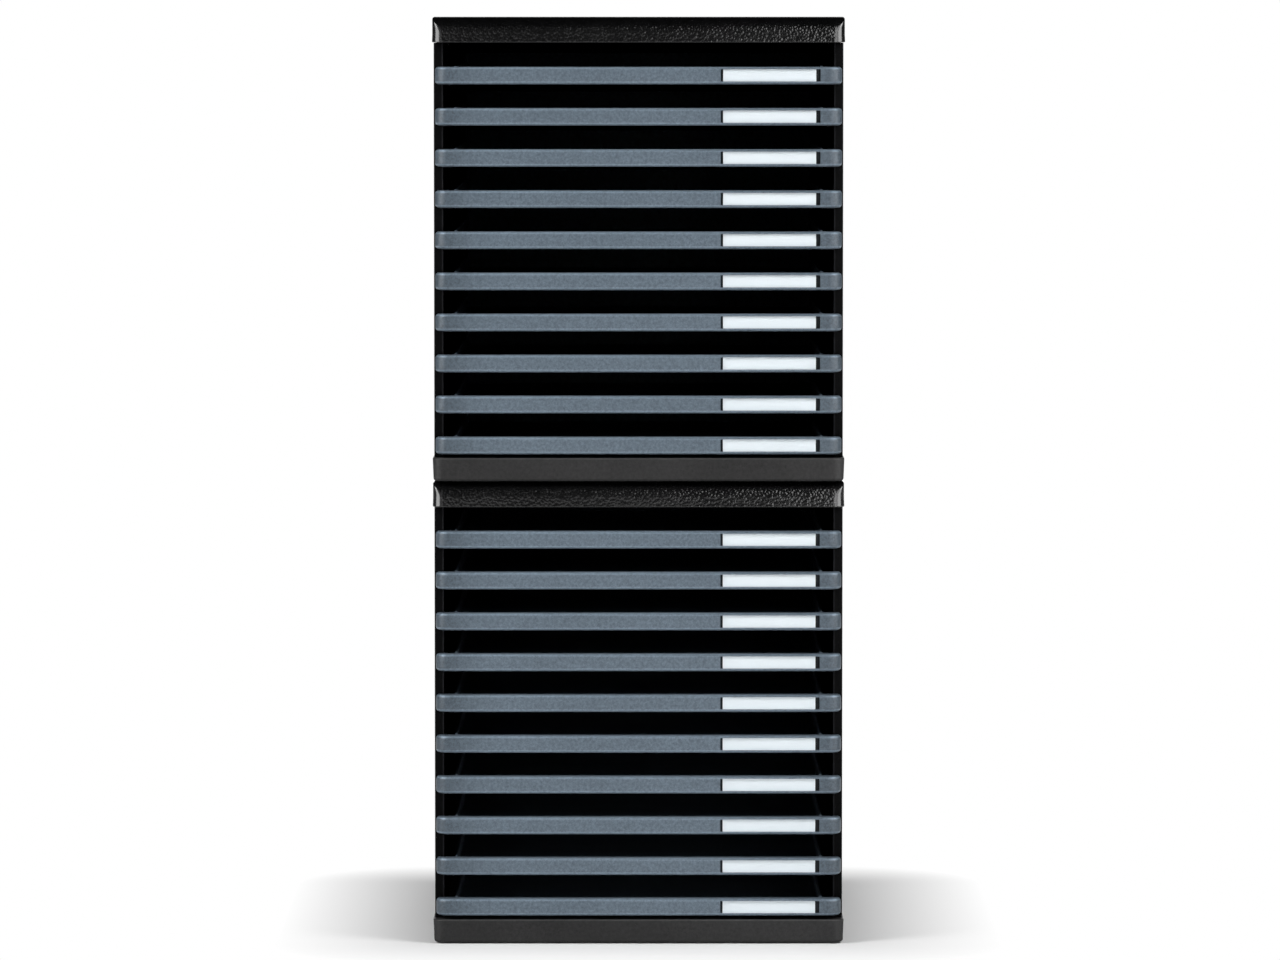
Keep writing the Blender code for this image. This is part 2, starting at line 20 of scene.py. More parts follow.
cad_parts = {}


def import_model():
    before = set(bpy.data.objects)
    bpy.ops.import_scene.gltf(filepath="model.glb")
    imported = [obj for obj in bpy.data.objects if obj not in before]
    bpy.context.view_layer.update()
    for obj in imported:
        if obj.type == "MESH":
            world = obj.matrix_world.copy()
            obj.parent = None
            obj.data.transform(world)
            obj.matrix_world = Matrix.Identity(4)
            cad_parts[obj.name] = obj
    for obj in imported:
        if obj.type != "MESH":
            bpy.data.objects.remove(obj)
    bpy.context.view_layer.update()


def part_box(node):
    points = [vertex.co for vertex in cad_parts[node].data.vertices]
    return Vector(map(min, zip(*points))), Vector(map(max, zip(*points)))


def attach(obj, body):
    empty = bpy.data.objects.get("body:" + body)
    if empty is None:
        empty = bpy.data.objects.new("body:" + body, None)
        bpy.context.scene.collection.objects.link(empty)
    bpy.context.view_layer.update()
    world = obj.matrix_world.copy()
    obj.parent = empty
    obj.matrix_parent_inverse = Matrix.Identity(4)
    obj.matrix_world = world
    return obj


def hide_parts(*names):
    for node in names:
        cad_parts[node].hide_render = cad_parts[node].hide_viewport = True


MM = 0.001
SUPPORT = 0.3 * MM  # rows this close to a rounding keep the flats beside it flat
RIM = 0.4 * MM  # usual round of a bar's rims
WELD = 0.002 * MM  # points this close become one
SHARP = math.radians(40)  # faces that turn by more than this meet in a crease
FOOT_INSET = 23 * MM  # from a unit's sides to the middle of a foot
OUTSIDE = 0.75  # how far the panels' outer and back faces are made paler than their base colour, which is darkened as painted shade
DRAWERS = range(1, 11)  # a unit's drawers, from the top
LINT = (0.5, 0.5, 0.48, 1.0)
WHITE = (1.0, 1.0, 1.0, 1.0)
LOG = logging.getLogger("drawer_tower")

Array = np.ndarray
Pair = tuple[float, float]
Triple = tuple[float, float, float]
Material = bpy.types.Material
Object = bpy.types.Object
Socket = bpy.types.NodeSocket
Sockets = tuple[Socket, Socket]


class Unit(Enum):
    """The two equal units of the tower."""

    LOWER = "lower"
    UPPER = "upper"

    def node(self, piece: str) -> str:
        """Full name of one of the unit's pieces."""
        return f"{self.value}_{piece}"


class Hand(Enum):
    """Side of the tower, with the sign of its X."""

    LEFT = -1
    RIGHT = 1

    def span(self, inner: float, outer: float) -> list[float]:
        """Lower and higher X of what lies between two distances from the middle."""
        return sorted((self.value * inner, self.value * outer))


class View(Enum):
    """How a flat outline lies in the world: the axes that its u, its v and its depth follow."""

    FRONT = (0, 2, 1)
    SIDE = (1, 2, 0)
    PLAN = (0, 1, 2)

    def place(self, u: Array, v: Array, depth: Array) -> Array:
        """Turn outline coordinates into rows of world points.

        Args:
            u: values along the outline's first axis.
            v: values along its second axis.
            depth: values across the outline.

        Returns:
            One row of x, y and z for each set of values.
        """
        u, v, depth = np.broadcast_arrays(u, v, depth)
        points = np.empty((*u.shape, 3))
        for axis, values in zip(self.value, (u, v, depth)):
            points[..., axis] = values
        return points.reshape(-1, 3)


class Slot(Enum):
    """Material slots of the record."""

    LID = "lid"
    PLINTH = "plinth"
    PANEL = "panel"
    DRAWER = "drawer"
    LABEL = "label"
    FOOT = "foot"


class Mask(Enum):
    """Values that a mesh carries for its finish: smoothed, made paler (mostly painted highlights), darkened
    as painted shade, or left more matt.
    """

    SMOOTHED = "smoothed"
    RUBBED = "rubbed"
    SOILED = "soiled"
    MATT = "matt"


class Corner(NamedTuple):
    """One corner of a flat outline and the radius that rounds it."""

    u: float
    v: float
    radius: float = 0.0


class Outline(NamedTuple):
    """Points of a flat line and, at each point, the direction to its left."""

    points: Array
    left: Array

    def offset(self, inset: Array) -> tuple[Array, Array]:
        """Rows of coordinates point + inset * left, one for each row of a column of insets."""
        return self.points[:, 0] + inset * self.left[:, 0], self.points[:, 1] + inset * self.left[:, 1]


def rounded(corners: Sequence[Corner], steps: int, closed: bool = True, support: float = SUPPORT) -> Outline:
    """Line through corners, each rounded by an arc that touches both of its sides.

    Where the line turns by the angle t, an arc of radius r starts r tan(t / 2) before the corner, and its
    points are centre - r n(s), where n(s) is the line's left normal after turning by s, from 0 to t. A closed
    line is first put anticlockwise, so that left is inwards.

    Args:
        corners: corners in order.
        steps: parts that each arc is divided into.
        closed: whether the last corner is joined to the first.
        support: distance of the extra points before and after each arc.

    Returns:
        The points and their left normals, lengthened at unrounded corners so that offsets stay parallel.
    """
    places = np.array([corner[:2] for corner in corners])
    radii = np.array([corner[2] for corner in corners])
    if closed:
        ahead = np.roll(places, -1, axis=0)
        if np.sum(places[:, 0] * ahead[:, 1] - places[:, 1] * ahead[:, 0]) < 0:
            places, radii = places[::-1], radii[::-1]
    sides = np.roll(places, -1, axis=0) - places
    headings = np.arctan2(sides[:, 1], sides[:, 0])
    points, lefts = [], []
    for index, radius in enumerate(radii):
        arrive, leave = headings[index - 1], headings[index]
        if not closed and index == 0:
            arrive = leave
        if not closed and index == len(radii) - 1:
            leave = arrive
        turn = (leave - arrive + math.pi) % math.tau - math.pi
        if radius <= 0:
            middle = arrive + turn / 2
            points.append(places[index : index + 1])
            lefts.append(np.array([[-math.sin(middle), math.cos(middle)]]) / math.cos(turn / 2))
            continue
        angles = arrive + turn * np.linspace(0, 1, steps + 1)
        left = np.stack([-np.sin(angles), np.cos(angles)], axis=-1)
        ahead = np.stack([np.cos(angles), np.sin(angles)], axis=-1)
        bend = math.copysign(radius, turn)
        start = places[index] - ahead[0] * radius * math.tan(abs(turn) / 2)
        arc = start + bend * (left[0] - left)
        points += [arc[:1] - support * ahead[:1], arc, arc[-1:] + support * ahead[-1:]]
        lefts += [left[:1], left, left[-1:]]
    return Outline(np.concatenate(points), np.concatenate(lefts))


def rectangle(u0: float, u1: float, v0: float, v1: float, radius: float = 0.0) -> list[Corner]:
    """Corners of an upright rectangle with one radius."""
    return [Corner(u0, v0, radius), Corner(u1, v0, radius), Corner(u1, v1, radius), Corner(u0, v1, radius)]


def circle(x: float, y: float, radius: float, sides: int) -> Outline:
    """Anticlockwise circle about (x, y): the points are centre + r (cos a, sin a).

    Args:
        x: X of the centre.
        y: Y of the centre.
        radius: radius r.
        sides: number of points.

    Returns:
        The points and, at each, the direction to the centre.
    """
    angles = np.linspace(0, math.tau, sides, endpoint=False)
    spokes = np.stack([np.cos(angles), np.sin(angles)], axis=-1)
    return Outline(np.array([x, y]) + radius * spokes, -spokes)


def quarter(radius: float, steps: int) -> tuple[Array, Array]:
    """Columns of inset r (1 - cos a) and rise r sin a, for the angle a from 0 to 90 degrees in steps."""
    angle = np.linspace(0, math.pi / 2, steps + 1)[:, None]
    return radius * (1 - np.cos(angle)), radius * np.sin(angle)


def column(*parts: Array | float) -> Array:
    """Join single values and columns into one column."""
    return np.concatenate([np.reshape(part, (-1, 1)) for part in parts])


def foot_places(low: Vector, high: Vector) -> list[Pair]:
    """Plan places of the four feet of a unit, from the corners of its lid or plinth.

    Args:
        low: lower corner of the lid's or plinth's box.
        high: its higher corner.

    Returns:
        X and Y of the middle of each foot.
    """
    return [
        (x, y)
        for x in (low.x + FOOT_INSET, high.x - FOOT_INSET)
        for y in (low.y + FOOT_INSET, high.y - FOOT_INSET)
    ]


def grid_faces(rows: int, columns: int, ring: bool = False) -> Array:
    """Quads of a grid of points counted row by row, whose rows can close on themselves.

    Args:
        rows: rows of points.
        columns: points in a row.
        ring: whether each row closes on itself.

    Returns:
        Four point numbers for each quad.
    """
    row = np.arange(rows - 1)[:, None] * columns
    here = np.arange(columns if ring else columns - 1)[None, :]
    below, beside = row + columns, (here + 1) % columns
    return np.stack([row + here, row + beside, below + beside, below + here], axis=-1).reshape(-1, 4)


class Shape:
    """Points and faces of one piece, gathered from closed parts."""

    def __init__(self) -> None:
        """Start with nothing."""
        self.points: list[Array] = []
        self.faces: list[Array] = []
        self.count = 0

    def add(self, points: Array, *faces: Array) -> None:
        """Add points and blocks of faces that count from the first of them.

        Args:
            points: rows of x, y and z.
            *faces: blocks of point numbers; the faces of a block have equally many corners.
        """
        self.points.append(points)
        self.faces += [block + self.count for block in faces]
        self.count += len(points)

    def rings(self, points: Array, rows: int, cap: bool = True) -> None:
        """Add rows of points that close on themselves; the first and, if asked, the last are filled.

        Args:
            points: all points, row after row.
            rows: number of rows.
            cap: whether the last row is filled.
        """
        columns = len(points) // rows
        ring = np.arange(columns)[None]
        caps = [ring, ring + (rows - 1) * columns] if cap else [ring]
        self.add(points, grid_faces(rows, columns, ring=True), *caps)

    def moulded(
        self, outline: Outline, inset: Array, depth: Array, view: View = View.PLAN, cap: bool = True
    ) -> None:
        """Carry a profile, as columns of inset and depth, round an outline; its last cap can be left out."""
        self.rings(view.place(*outline.offset(inset), depth), len(inset), cap)

    def bar(
        self, outline: Outline, start: float, end: float, view: View, rim: float = RIM, steps: int = 3
    ) -> None:
        """Carry an outline straight across its view, with both rims rounded by quarter rounds.

        Args:
            outline: the closed outline.
            start: depth at which the bar starts.
            end: depth at which it ends.
            view: how the outline lies.
            rim: radius of the rims.
            steps: parts that each quarter round is divided into.
        """
        inset, rise = quarter(rim, steps)
        depth = column(start + rim - rise[::-1], end - rim + rise)
        self.moulded(outline, column(inset[::-1], inset), depth, view)

    def mesh(self, name: str) -> bpy.types.Mesh:
        """Weld the parts, turn their faces outwards and shade them smooth up to the sharp angle.

        Args:
            name: name of the mesh.

        Returns:
            The mesh.
        """
        mesh = bpy.data.meshes.new(name)
        faces = [face for block in self.faces for face in block.tolist()]
        mesh.from_pydata(np.concatenate(self.points).tolist(), [], faces)
        work = bmesh.new()
        work.from_mesh(mesh)
        bmesh.ops.remove_doubles(work, verts=work.verts, dist=WELD)
        bmesh.ops.recalc_face_normals(work, faces=work.faces)
        work.to_mesh(mesh)
        work.free()
        mesh.shade_smooth()
        mesh.set_sharp_from_angle(angle=SHARP)
        return mesh


def bell(distance: Array, width: float) -> Array:
    """Soft bump: exp(-(distance / width) ** 2)."""
    return np.exp(-((distance / width) ** 2))


def put(name: str, data: bpy.types.ID) -> Object:
    """Make an object of a mesh, a lamp or a camera in the scene.

    Args:
        name: name of the object.
        data: the mesh, lamp or camera.

    Returns:
        The object.
    """
    made = bpy.data.objects.new(name, data)
    bpy.context.scene.collection.objects.link(made)
    return made


def mark(made: Object, mask: Mask, worth: Callable[[Array, Array, Array], Array]) -> None:
    """Give each point of a piece a value between 0 and 1 for a mask, worked out from its x, y and z.

    Args:
        made: object of the piece.
        mask: the mask.
        worth: gives the values for arrays of x, y and z.
    """
    places = np.empty(3 * len(made.data.vertices))
    made.data.vertices.foreach_get("co", places)
    values = np.clip(worth(*places.reshape(-1, 3).T), 0, 1)
    made.data.attributes.new(mask.value, "FLOAT", "POINT").data.foreach_set("value", values)


class Graph:
    """Adds nodes to one tree and joins them."""

    def __init__(self, tree: bpy.types.NodeTree) -> None:
        """Work on a tree."""
        self.tree = tree

    def feed(self, node: bpy.types.Node, inputs: dict) -> None:
        """Set a node's inputs, each to a value or from the output of another node.

        Args:
            node: the node.
            inputs: values and outputs, by the name or number of the input.
        """
        for key, value in inputs.items():
            if isinstance(value, Socket):
                self.tree.links.new(value, node.inputs[key])
            else:
                node.inputs[key].default_value = value

    def add(self, kind: str, inputs: dict | None = None, **settings: object) -> bpy.types.Node:
        """Add a node with its settings and inputs.

        Args:
            kind: type of the node.
            inputs: values and outputs, by the name or number of the input.
            **settings: the node's other settings.

        Returns:
            The node.
        """
        node = self.tree.nodes.new(kind)
        for key, value in settings.items():
            setattr(node, key, value)
        self.feed(node, inputs or {})
        return node

    def math(self, operation: str, *values: object) -> Socket:
        """Add a Math node and give its result."""
        return self.add("ShaderNodeMath", dict(enumerate(values)), operation=operation).outputs[0]

    def vector(self, operation: str, *values: object) -> Socket:
        """Add a Vector Math node and give its vector."""
        return self.add("ShaderNodeVectorMath", dict(enumerate(values)), operation=operation).outputs[0]

    def spread(self, value: Socket, low: float, high: float) -> Socket:
        """Stretch the values between low and high to 0 to 1."""
        inputs = {"Value": value, "From Min": low, "From Max": high}
        return self.add("ShaderNodeMapRange", inputs).outputs["Result"]

    def noise(self, vector: Socket, scale: object, detail: float, rough: float = 0.5) -> Socket:
        """Add a noise and give its value."""
        inputs = {"Vector": vector, "Scale": scale, "Detail": detail, "Roughness": rough}
        return self.add("ShaderNodeTexNoise", inputs).outputs[0]

    def mix(self, factor: Socket, low: object, high: object) -> Socket:
        """Mix two colours, which are the Mix node's inputs 6 and 7 and its output 2."""
        return self.add("ShaderNodeMix", {0: factor, 6: low, 7: high}, data_type="RGBA").outputs[2]


class Effect(Enum):
    """Surface effects that several finishes share, each one node group."""

    FINE_GRAIN = "fine_grain"
    PEBBLE_GRAIN = "pebble_grain"
    HANDLING = "handling"

    def group(self) -> bpy.types.NodeTree:
        """The effect's node group, built the first time.

        Returns:
            The group, which takes a vector and a scale and gives a height and a tone.
        """
        made = bpy.data.node_groups.get(self.value)
        if made:
            return made
        made = bpy.data.node_groups.new(self.value, "ShaderNodeTree")
        graph = Graph(made)
        made.interface.new_socket("Vector", in_out="INPUT", socket_type="NodeSocketVector")
        made.interface.new_socket("Scale", in_out="INPUT", socket_type="NodeSocketFloat")
        for name in ("Height", "Tone"):
            made.interface.new_socket(name, in_out="OUTPUT", socket_type="NodeSocketFloat")
        ends = graph.add("NodeGroupInput").outputs
        height, tone = getattr(self, "_" + self.value)(graph, ends["Vector"], ends["Scale"])
        graph.add("NodeGroupOutput", {"Height": height, "Tone": tone})
        return made

    def _fine_grain(self, graph: Graph, vector: Socket, scale: Socket) -> Sockets:
        """Spark-eroded grain: two sizes of soft noise, the larger one also tinting.

        Args:
            graph: takes the nodes.
            vector: place on the surface.
            scale: cells in a metre.

        Returns:
            Height and tone.
        """
        fine = graph.noise(vector, scale, 2.0, 0.6)
        coarse = graph.noise(vector, graph.math("MULTIPLY", scale, 0.37), 2.0)
        height = graph.math("MULTIPLY_ADD", coarse, 0.6, fine)
        return graph.spread(height, 0.45, 1.15), graph.spread(graph.math("ADD", fine, coarse), 0.7, 1.3)

    def _pebble_grain(self, graph: Graph, vector: Socket, scale: Socket) -> Sockets:
        """Leather-like grain: low rounded pebbles of uneven size with fine valleys between them.

        Args:
            graph: takes the nodes.
            vector: place on the surface.
            scale: cells in a metre.

        Returns:
            Height and tone.
        """
        half = graph.math("MULTIPLY", scale, 0.5)
        stray = graph.add("ShaderNodeTexNoise", {"Vector": vector, "Scale": half}).outputs["Color"]
        moved = graph.vector("ADD", vector, graph.vector("MULTIPLY", stray, (0.0008,) * 3))
        inputs = {"Vector": moved, "Scale": scale, "Smoothness": 0.35}
        cells = graph.add("ShaderNodeTexVoronoi", inputs, feature="SMOOTH_F1").outputs["Distance"]
        pebble = graph.math("SUBTRACT", 1.0, graph.spread(cells, 0.1, 0.75))
        blotch = graph.noise(vector, graph.math("MULTIPLY", scale, 0.45), 2.0, 0.6)
        height = graph.math("MULTIPLY_ADD", blotch, 0.5, pebble)
        return graph.spread(height, 0.15, 1.35), graph.spread(blotch, 0.35, 0.65)

    def _handling(self, graph: Graph, vector: Socket, scale: Socket) -> Sockets:
        """Cloudy wiping marks as height, and fine lint specks as tone.

        Args:
            graph: takes the nodes.
            vector: place on the surface.
            scale: clouds in a metre.

        Returns:
            Height and tone.
        """
        cloud = graph.noise(vector, scale, 4.0, 0.55)
        lint = graph.noise(vector, graph.math("MULTIPLY", scale, 90.0), 1.0)
        return graph.spread(cloud, 0.3, 0.7), graph.spread(lint, 0.74, 0.8)


class Grain(NamedTuple):
    """A moulded grain: the effect, its cells in a metre, its depth and how much it tints."""

    effect: Effect
    scale: float
    depth: float
    tint: float


@dataclass(frozen=True)
class Finish:
    """One material of the tower.

    Attributes:
        name: name of the material.
        colour: linear base colour.
        roughness: middle roughness.
        specular: specular level.
        grain: its moulded or pressed grain.
        wiped: how far wiping marks change the roughness.
        smudge: how far wiping marks change the tone.
        dust: how far lint specks lighten it.
        rub: how far its lightened places are made paler; on edges this is a painted highlight.
        soil: how far its places marked with painted shade are darker.
        matt: how much rougher its matt places are.
        marks: wiping marks in a metre.
    """

    name: str
    colour: Triple
    roughness: float
    specular: float
    grain: Grain
    wiped: float = 0.06
    dust: float = 0.05
    smudge: float = 0.0
    rub: float = 0.0
    soil: float = 0.0
    matt: float = 0.0
    marks: float = 14.0

    def _effect(self, graph: Graph, vector: Socket, effect: Effect, scale: float) -> Sockets:
        """Place an effect's group in the material and give its height and tone."""
        inputs = {"Vector": vector, "Scale": scale}
        return tuple(graph.add("ShaderNodeGroup", inputs, node_tree=effect.group()).outputs)

    def _masked(self, graph: Graph, mask: Mask) -> Socket:
        """Read one of the values that the mesh carries."""
        return graph.add("ShaderNodeAttribute", attribute_name=mask.value).outputs["Fac"]

    def material(self) -> Material:
        """Build the material: grain in colour and bump, wiping marks in roughness, a little lint.

        Returns:
            The material.
        """
        made = bpy.data.materials.new(self.name)
        made.use_nodes = True
        graph = Graph(made.node_tree)
        shader = made.node_tree.nodes["Principled BSDF"]
        vector = graph.add("ShaderNodeTexCoord").outputs["Object"]
        relief, tone = self._effect(graph, vector, self.grain.effect, self.grain.scale)
        cloud, lint = self._effect(graph, vector, Effect.HANDLING, self.marks)
        dark, light = ((*(c * (1 + s * self.grain.tint) for c in self.colour), 1.0) for s in (-1, 1))
        tone = graph.mix(tone, dark, light)
        # Tone scale: the wiping marks, then paler where lightened (mostly painted highlights) and darker
        # where painted shade is marked.
        if self.rub:
            tone_with_painted_light = graph.math("MULTIPLY_ADD", cloud, self.smudge, 1 - self.smudge / 2)
            tone_with_painted_light = graph.math("MULTIPLY_ADD", self._masked(graph, Mask.RUBBED), self.rub, tone_with_painted_light)
            tone_with_painted_light = graph.math("MULTIPLY_ADD", self._masked(graph, Mask.SOILED), -self.soil, tone_with_painted_light)
            tone = graph.add("ShaderNodeVectorMath", {0: tone, "Scale": tone_with_painted_light}, operation="SCALE").outputs[0]
        colour = graph.mix(graph.math("MULTIPLY", lint, self.dust), tone, LINT)
        rough = graph.math("MULTIPLY_ADD", cloud, self.wiped, self.roughness - self.wiped / 2)
        if self.matt:
            rough = graph.math("MULTIPLY_ADD", self._masked(graph, Mask.MATT), self.matt, rough)
        grained = graph.math("SUBTRACT", 1.0, self._masked(graph, Mask.SMOOTHED))
        height = graph.math("MULTIPLY", relief, grained)
        inputs = {"Strength": 1.0, "Distance": self.grain.depth, "Height": height}
        bump = graph.add("ShaderNodeBump", inputs).outputs["Normal"]
        graph.feed(shader, {"Base Color": colour, "Roughness": rough, "Normal": bump})
        graph.feed(shader, {"Specular IOR Level": self.specular})
        return made


FINISHES = {
    Slot.LID: Finish(
        "black_pebbled_plastic", (0.002, 0.002, 0.0022), roughness=0.2, specular=0.5,
        grain=Grain(Effect.PEBBLE_GRAIN, 560, 0.25 * MM, 0.3), smudge=0.3, rub=5.0, matt=0.35,
    ),
    Slot.PLINTH: Finish(
        "black_satin_plastic", (0.0232, 0.0229, 0.0232), roughness=0.5, specular=0.12,
        grain=Grain(Effect.FINE_GRAIN, 1100, 0.015 * MM, 0.25), smudge=0.35, rub=0.9,
    ),
    # The panels' base colour is darkened as painted shade on the posts' fronts and the faces inside the unit;
    # their outer and back faces are lightened back up.
    Slot.PANEL: Finish(
        "black_matt_plastic", (0.0015, 0.0015, 0.0017), roughness=0.55, specular=0.03,
        grain=Grain(Effect.FINE_GRAIN, 900, 0.03 * MM, 0.4), smudge=0.25, rub=22.0,
    ),
    Slot.DRAWER: Finish(
        "grey_grained_plastic", (0.119, 0.153, 0.188), roughness=0.38, specular=0.15,
        grain=Grain(Effect.FINE_GRAIN, 1350, 0.015 * MM, 0.27), smudge=0.1, rub=1.8, soil=0.9,
    ),
    Slot.LABEL: Finish(
        "white_card", (0.775, 0.845, 0.885), roughness=0.75, specular=0.2,
        grain=Grain(Effect.FINE_GRAIN, 5200, 0.006 * MM, 0.02), wiped=0.04, dust=0.0,
    ),
    Slot.FOOT: Finish(
        "black_rubber", (0.012, 0.012, 0.012), roughness=0.8, specular=0.3,
        grain=Grain(Effect.FINE_GRAIN, 1500, 0.03 * MM, 0.15), wiped=0.1, dust=0.2,
    ),
}


@dataclass
class Piece:
    """One piece of a unit: it stands for a node, takes its size from the node's box and rides on a body.

    Attributes:
        unit: the unit.
        title: name of the node, without the unit's; the piece's own fields are filled in.
        rides: name of the body, in the same way.
        slot: slot of its material.
    """

    unit: Unit
    title: ClassVar[str]
    rides: ClassVar[str] = "casing"
    slot: ClassVar[Slot]

    def __post_init__(self) -> None:
        """Work out the names, and take the corners of the node's box."""
        self.node, self.body = (
            self.unit.node(name.format_map(vars(self)).lower()) for name in (self.title, self.rides)
        )
        self.low, self.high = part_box(self.node)

    def make(self, kind: str, shape: Shape, dress: Material) -> Object:
        """Make a finished object of a shape, named after the node and its kind, in its material.

        Args:
            kind: last word of the object's name.
            shape: the object's points and faces.
            dress: the piece's material.

        Returns:
            The object.
        """
        name = f"{self.node}_{kind}"
        mesh = shape.mesh(name)
        mesh.materials.append(dress)
        made = put(name, mesh)
        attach(made, self.body)
        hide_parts(self.node)
        LOG.info("%s on %s, %d faces", name, self.body, len(mesh.polygons))
        return made


@dataclass
class Lid(Piece):
    """Hollow lid with a rolled front edge and wells for the feet of a unit above."""

    title, slot = "lid", Slot.LID
    wall: float = 2.5 * MM
    draft: float = 0.2 * MM
    corner: float = 7.5 * MM
    front_roll: float = 12 * MM
    roll_rows: int = 19
    edge_round: float = 1.8 * MM
    lip_round: float = 0.5 * MM
    mitre: float = 1.0 * MM
    well_radius: float = 9.2 * MM
    well_depth: float = 0.8 * MM
    well_round: float = 0.4 * MM
    well_sides: int = 48
    top_fade: float = 2 * MM
    smooth_corner: float = 0.2
    smooth_roll: float = 0.6
    smooth_top: float = 0.6

    def _skin(self, shape: Shape) -> Array:
        """Carry the wall's profile round the plan, and cut its front back along a roll.

        At the height h above its foot, a roll of radius r lies r - sqrt(r r - h h) behind the front, and
        every point keeps the larger of its own y and the roll's. Where the two differ by less than k, the
        larger one gains (k - difference)(k - difference) / (4 k), which softens the corner's mitre.

        Args:
            shape: takes the skin, open at its top.

        Returns:
            Plan points of the open top's edge.
        """
        low, high, wall, lip = self.low, self.high, self.wall, self.lip_round
        path = rounded(rectangle(low.x, high.x, low.y, high.y, self.corner), 24)
        foot = high.z - self.front_roll
        turn = np.linspace(0, math.pi / 2, self.roll_rows)[:, None]
        climb = foot + self.front_roll * np.sin(turn)
        over = np.clip(climb - (high.z - self.edge_round), 0, self.edge_round)
        edge = self.edge_round - np.sqrt(self.edge_round**2 - over**2)
        inner_roll = self.front_roll - wall
        inner_climb = foot + inner_roll * np.sin(turn[::-2])
        lip_inset, lip_rise = quarter(lip, 3)
        inner, outer = np.full_like(inner_climb, wall + self.draft), self.draft + edge
        last = self.draft + self.edge_round + SUPPORT
        inset = column(inner, wall, wall - SUPPORT, lip_inset[::-1], 0.0, outer, last)
        foot_rise = column(SUPPORT, 0.0, lip - lip_rise[::-1], lip + SUPPORT)
        depth = column(inner_climb, low.z + foot_rise, climb, high.z)
        outside = np.arange(len(depth))[:, None] > len(inner_climb)
        roll = np.where(outside, self.front_roll, inner_roll)
        rise = np.clip(depth - foot, 0, roll)
        behind = np.where(outside, 0, wall) + roll - np.sqrt(roll**2 - rise**2)
        behind[-1] += SUPPORT
        x, y = path.offset(inset)
        cut = low.y + behind
        soft = np.clip(behind - np.where(outside, 0, wall), 1e-9, self.mitre)
        y = np.maximum(y, cut) + np.maximum(soft - np.abs(y - cut), 0) ** 2 / (4 * soft)
        shape.rings(View.PLAN.place(x, y, depth), len(depth), cap=False)
        return np.stack([x[-1], y[-1]], axis=-1)

    def _top(self, shape: Shape, edge: Array) -> None:
        """Fill the top with triangles between its edge and four rings, and put a shallow well in each ring.

        Args:
            shape: takes the faces.
            edge: plan points of the top's edge.
        """
        high = self.high
        inset, rise = quarter(self.well_round, 4)
        drop = column(inset, self.well_depth)
        grow = column(self.well_round - rise, 0.0)
        rim = self.well_radius + self.well_round
        rings = [edge]
        for x, y in foot_places(self.low, high):
            well = circle(x, y, self.well_radius, self.well_sides)
            shape.moulded(well, (-grow)[::-1], (high.z - drop)[::-1], cap=False)
            rings.append(circle(x, y, rim, self.well_sides).points)
        plan = np.concatenate(rings)
        loops = np.split(np.arange(len(plan)), np.cumsum([len(ring) for ring in rings])[:-1])
        sides = np.concatenate([np.stack([loop, np.roll(loop, -1)], axis=-1) for loop in loops])
        flat = delaunay_2d_cdt([Vector(place) for place in plan], sides.tolist(), [], 1, 1e-7)
        points = np.array([tuple(place) for place in flat[0]])
        faces = np.array(flat[2])
        middles = points[faces].mean(axis=1)
        centres = np.array([ring.mean(axis=0) for ring in rings[1:]])
        apart = np.linalg.norm(middles[:, None] - centres[None], axis=-1).min(axis=1)
        shape.add(View.PLAN.place(points[:, 0], points[:, 1], np.array(high.z)), faces[apart > rim])

    def build(self, dress: Material) -> None:
        """Make the lid in its material.

        Args:
            dress: the piece's material.
        """
        low, high = self.low, self.high
        shape = Shape()
        self._top(shape, self._skin(shape))
        made = self.make("moulding", shape, dress)

        def at_corner(x: Array, y: Array) -> Array:
            """How far a place lies within both of an upright corner's sides, over a share of its radius.

            Args:
                x: X of the places.
                y: Y of the places.

            Returns:
                The share at each place, below zero outside the corners.
            """
            across = np.abs(x) - (high.x - self.corner)
            along = np.maximum(low.y + self.corner - y, y - (high.y - self.corner))
            return np.minimum(across, along) / (self.smooth_corner * self.corner)

        def on_top(x: Array, y: Array, z: Array) -> Array:
            """One on the level top, falling to nothing over the last of the front roll and edge rounds.

            Args:
                x: X of the places.
                y: Y of the places.
                z: Z of the places.

            Returns:
                The value at each place.
            """
            along = np.minimum(y - low.y - self.front_roll, high.y - self.edge_round - y)
            inside = np.minimum(high.x - self.edge_round - np.abs(x), along)
            return np.clip(1 + inside / self.top_fade, 0, 1) * (z > high.z - self.top_fade)

        def smoothed(x: Array, y: Array, z: Array) -> Array:
            """The corners, and part of the way also the top and the upper part of the front roll.

            Args:
                x: X of the places.
                y: Y of the places.
                z: Z of the places.

            Returns:
                The value at each place.
            """
            climb = (z - high.z) / self.front_roll + self.smooth_roll
            roll = np.clip(2 * climb, 0, 1) * (y < low.y + self.front_roll)
            return np.maximum(at_corner(x, y), self.smooth_top * np.maximum(on_top(x, y, z), roll))

        mark(made, Mask.SMOOTHED, smoothed)
        mark(made, Mask.MATT, on_top)
        mark(made, Mask.RUBBED, on_top)


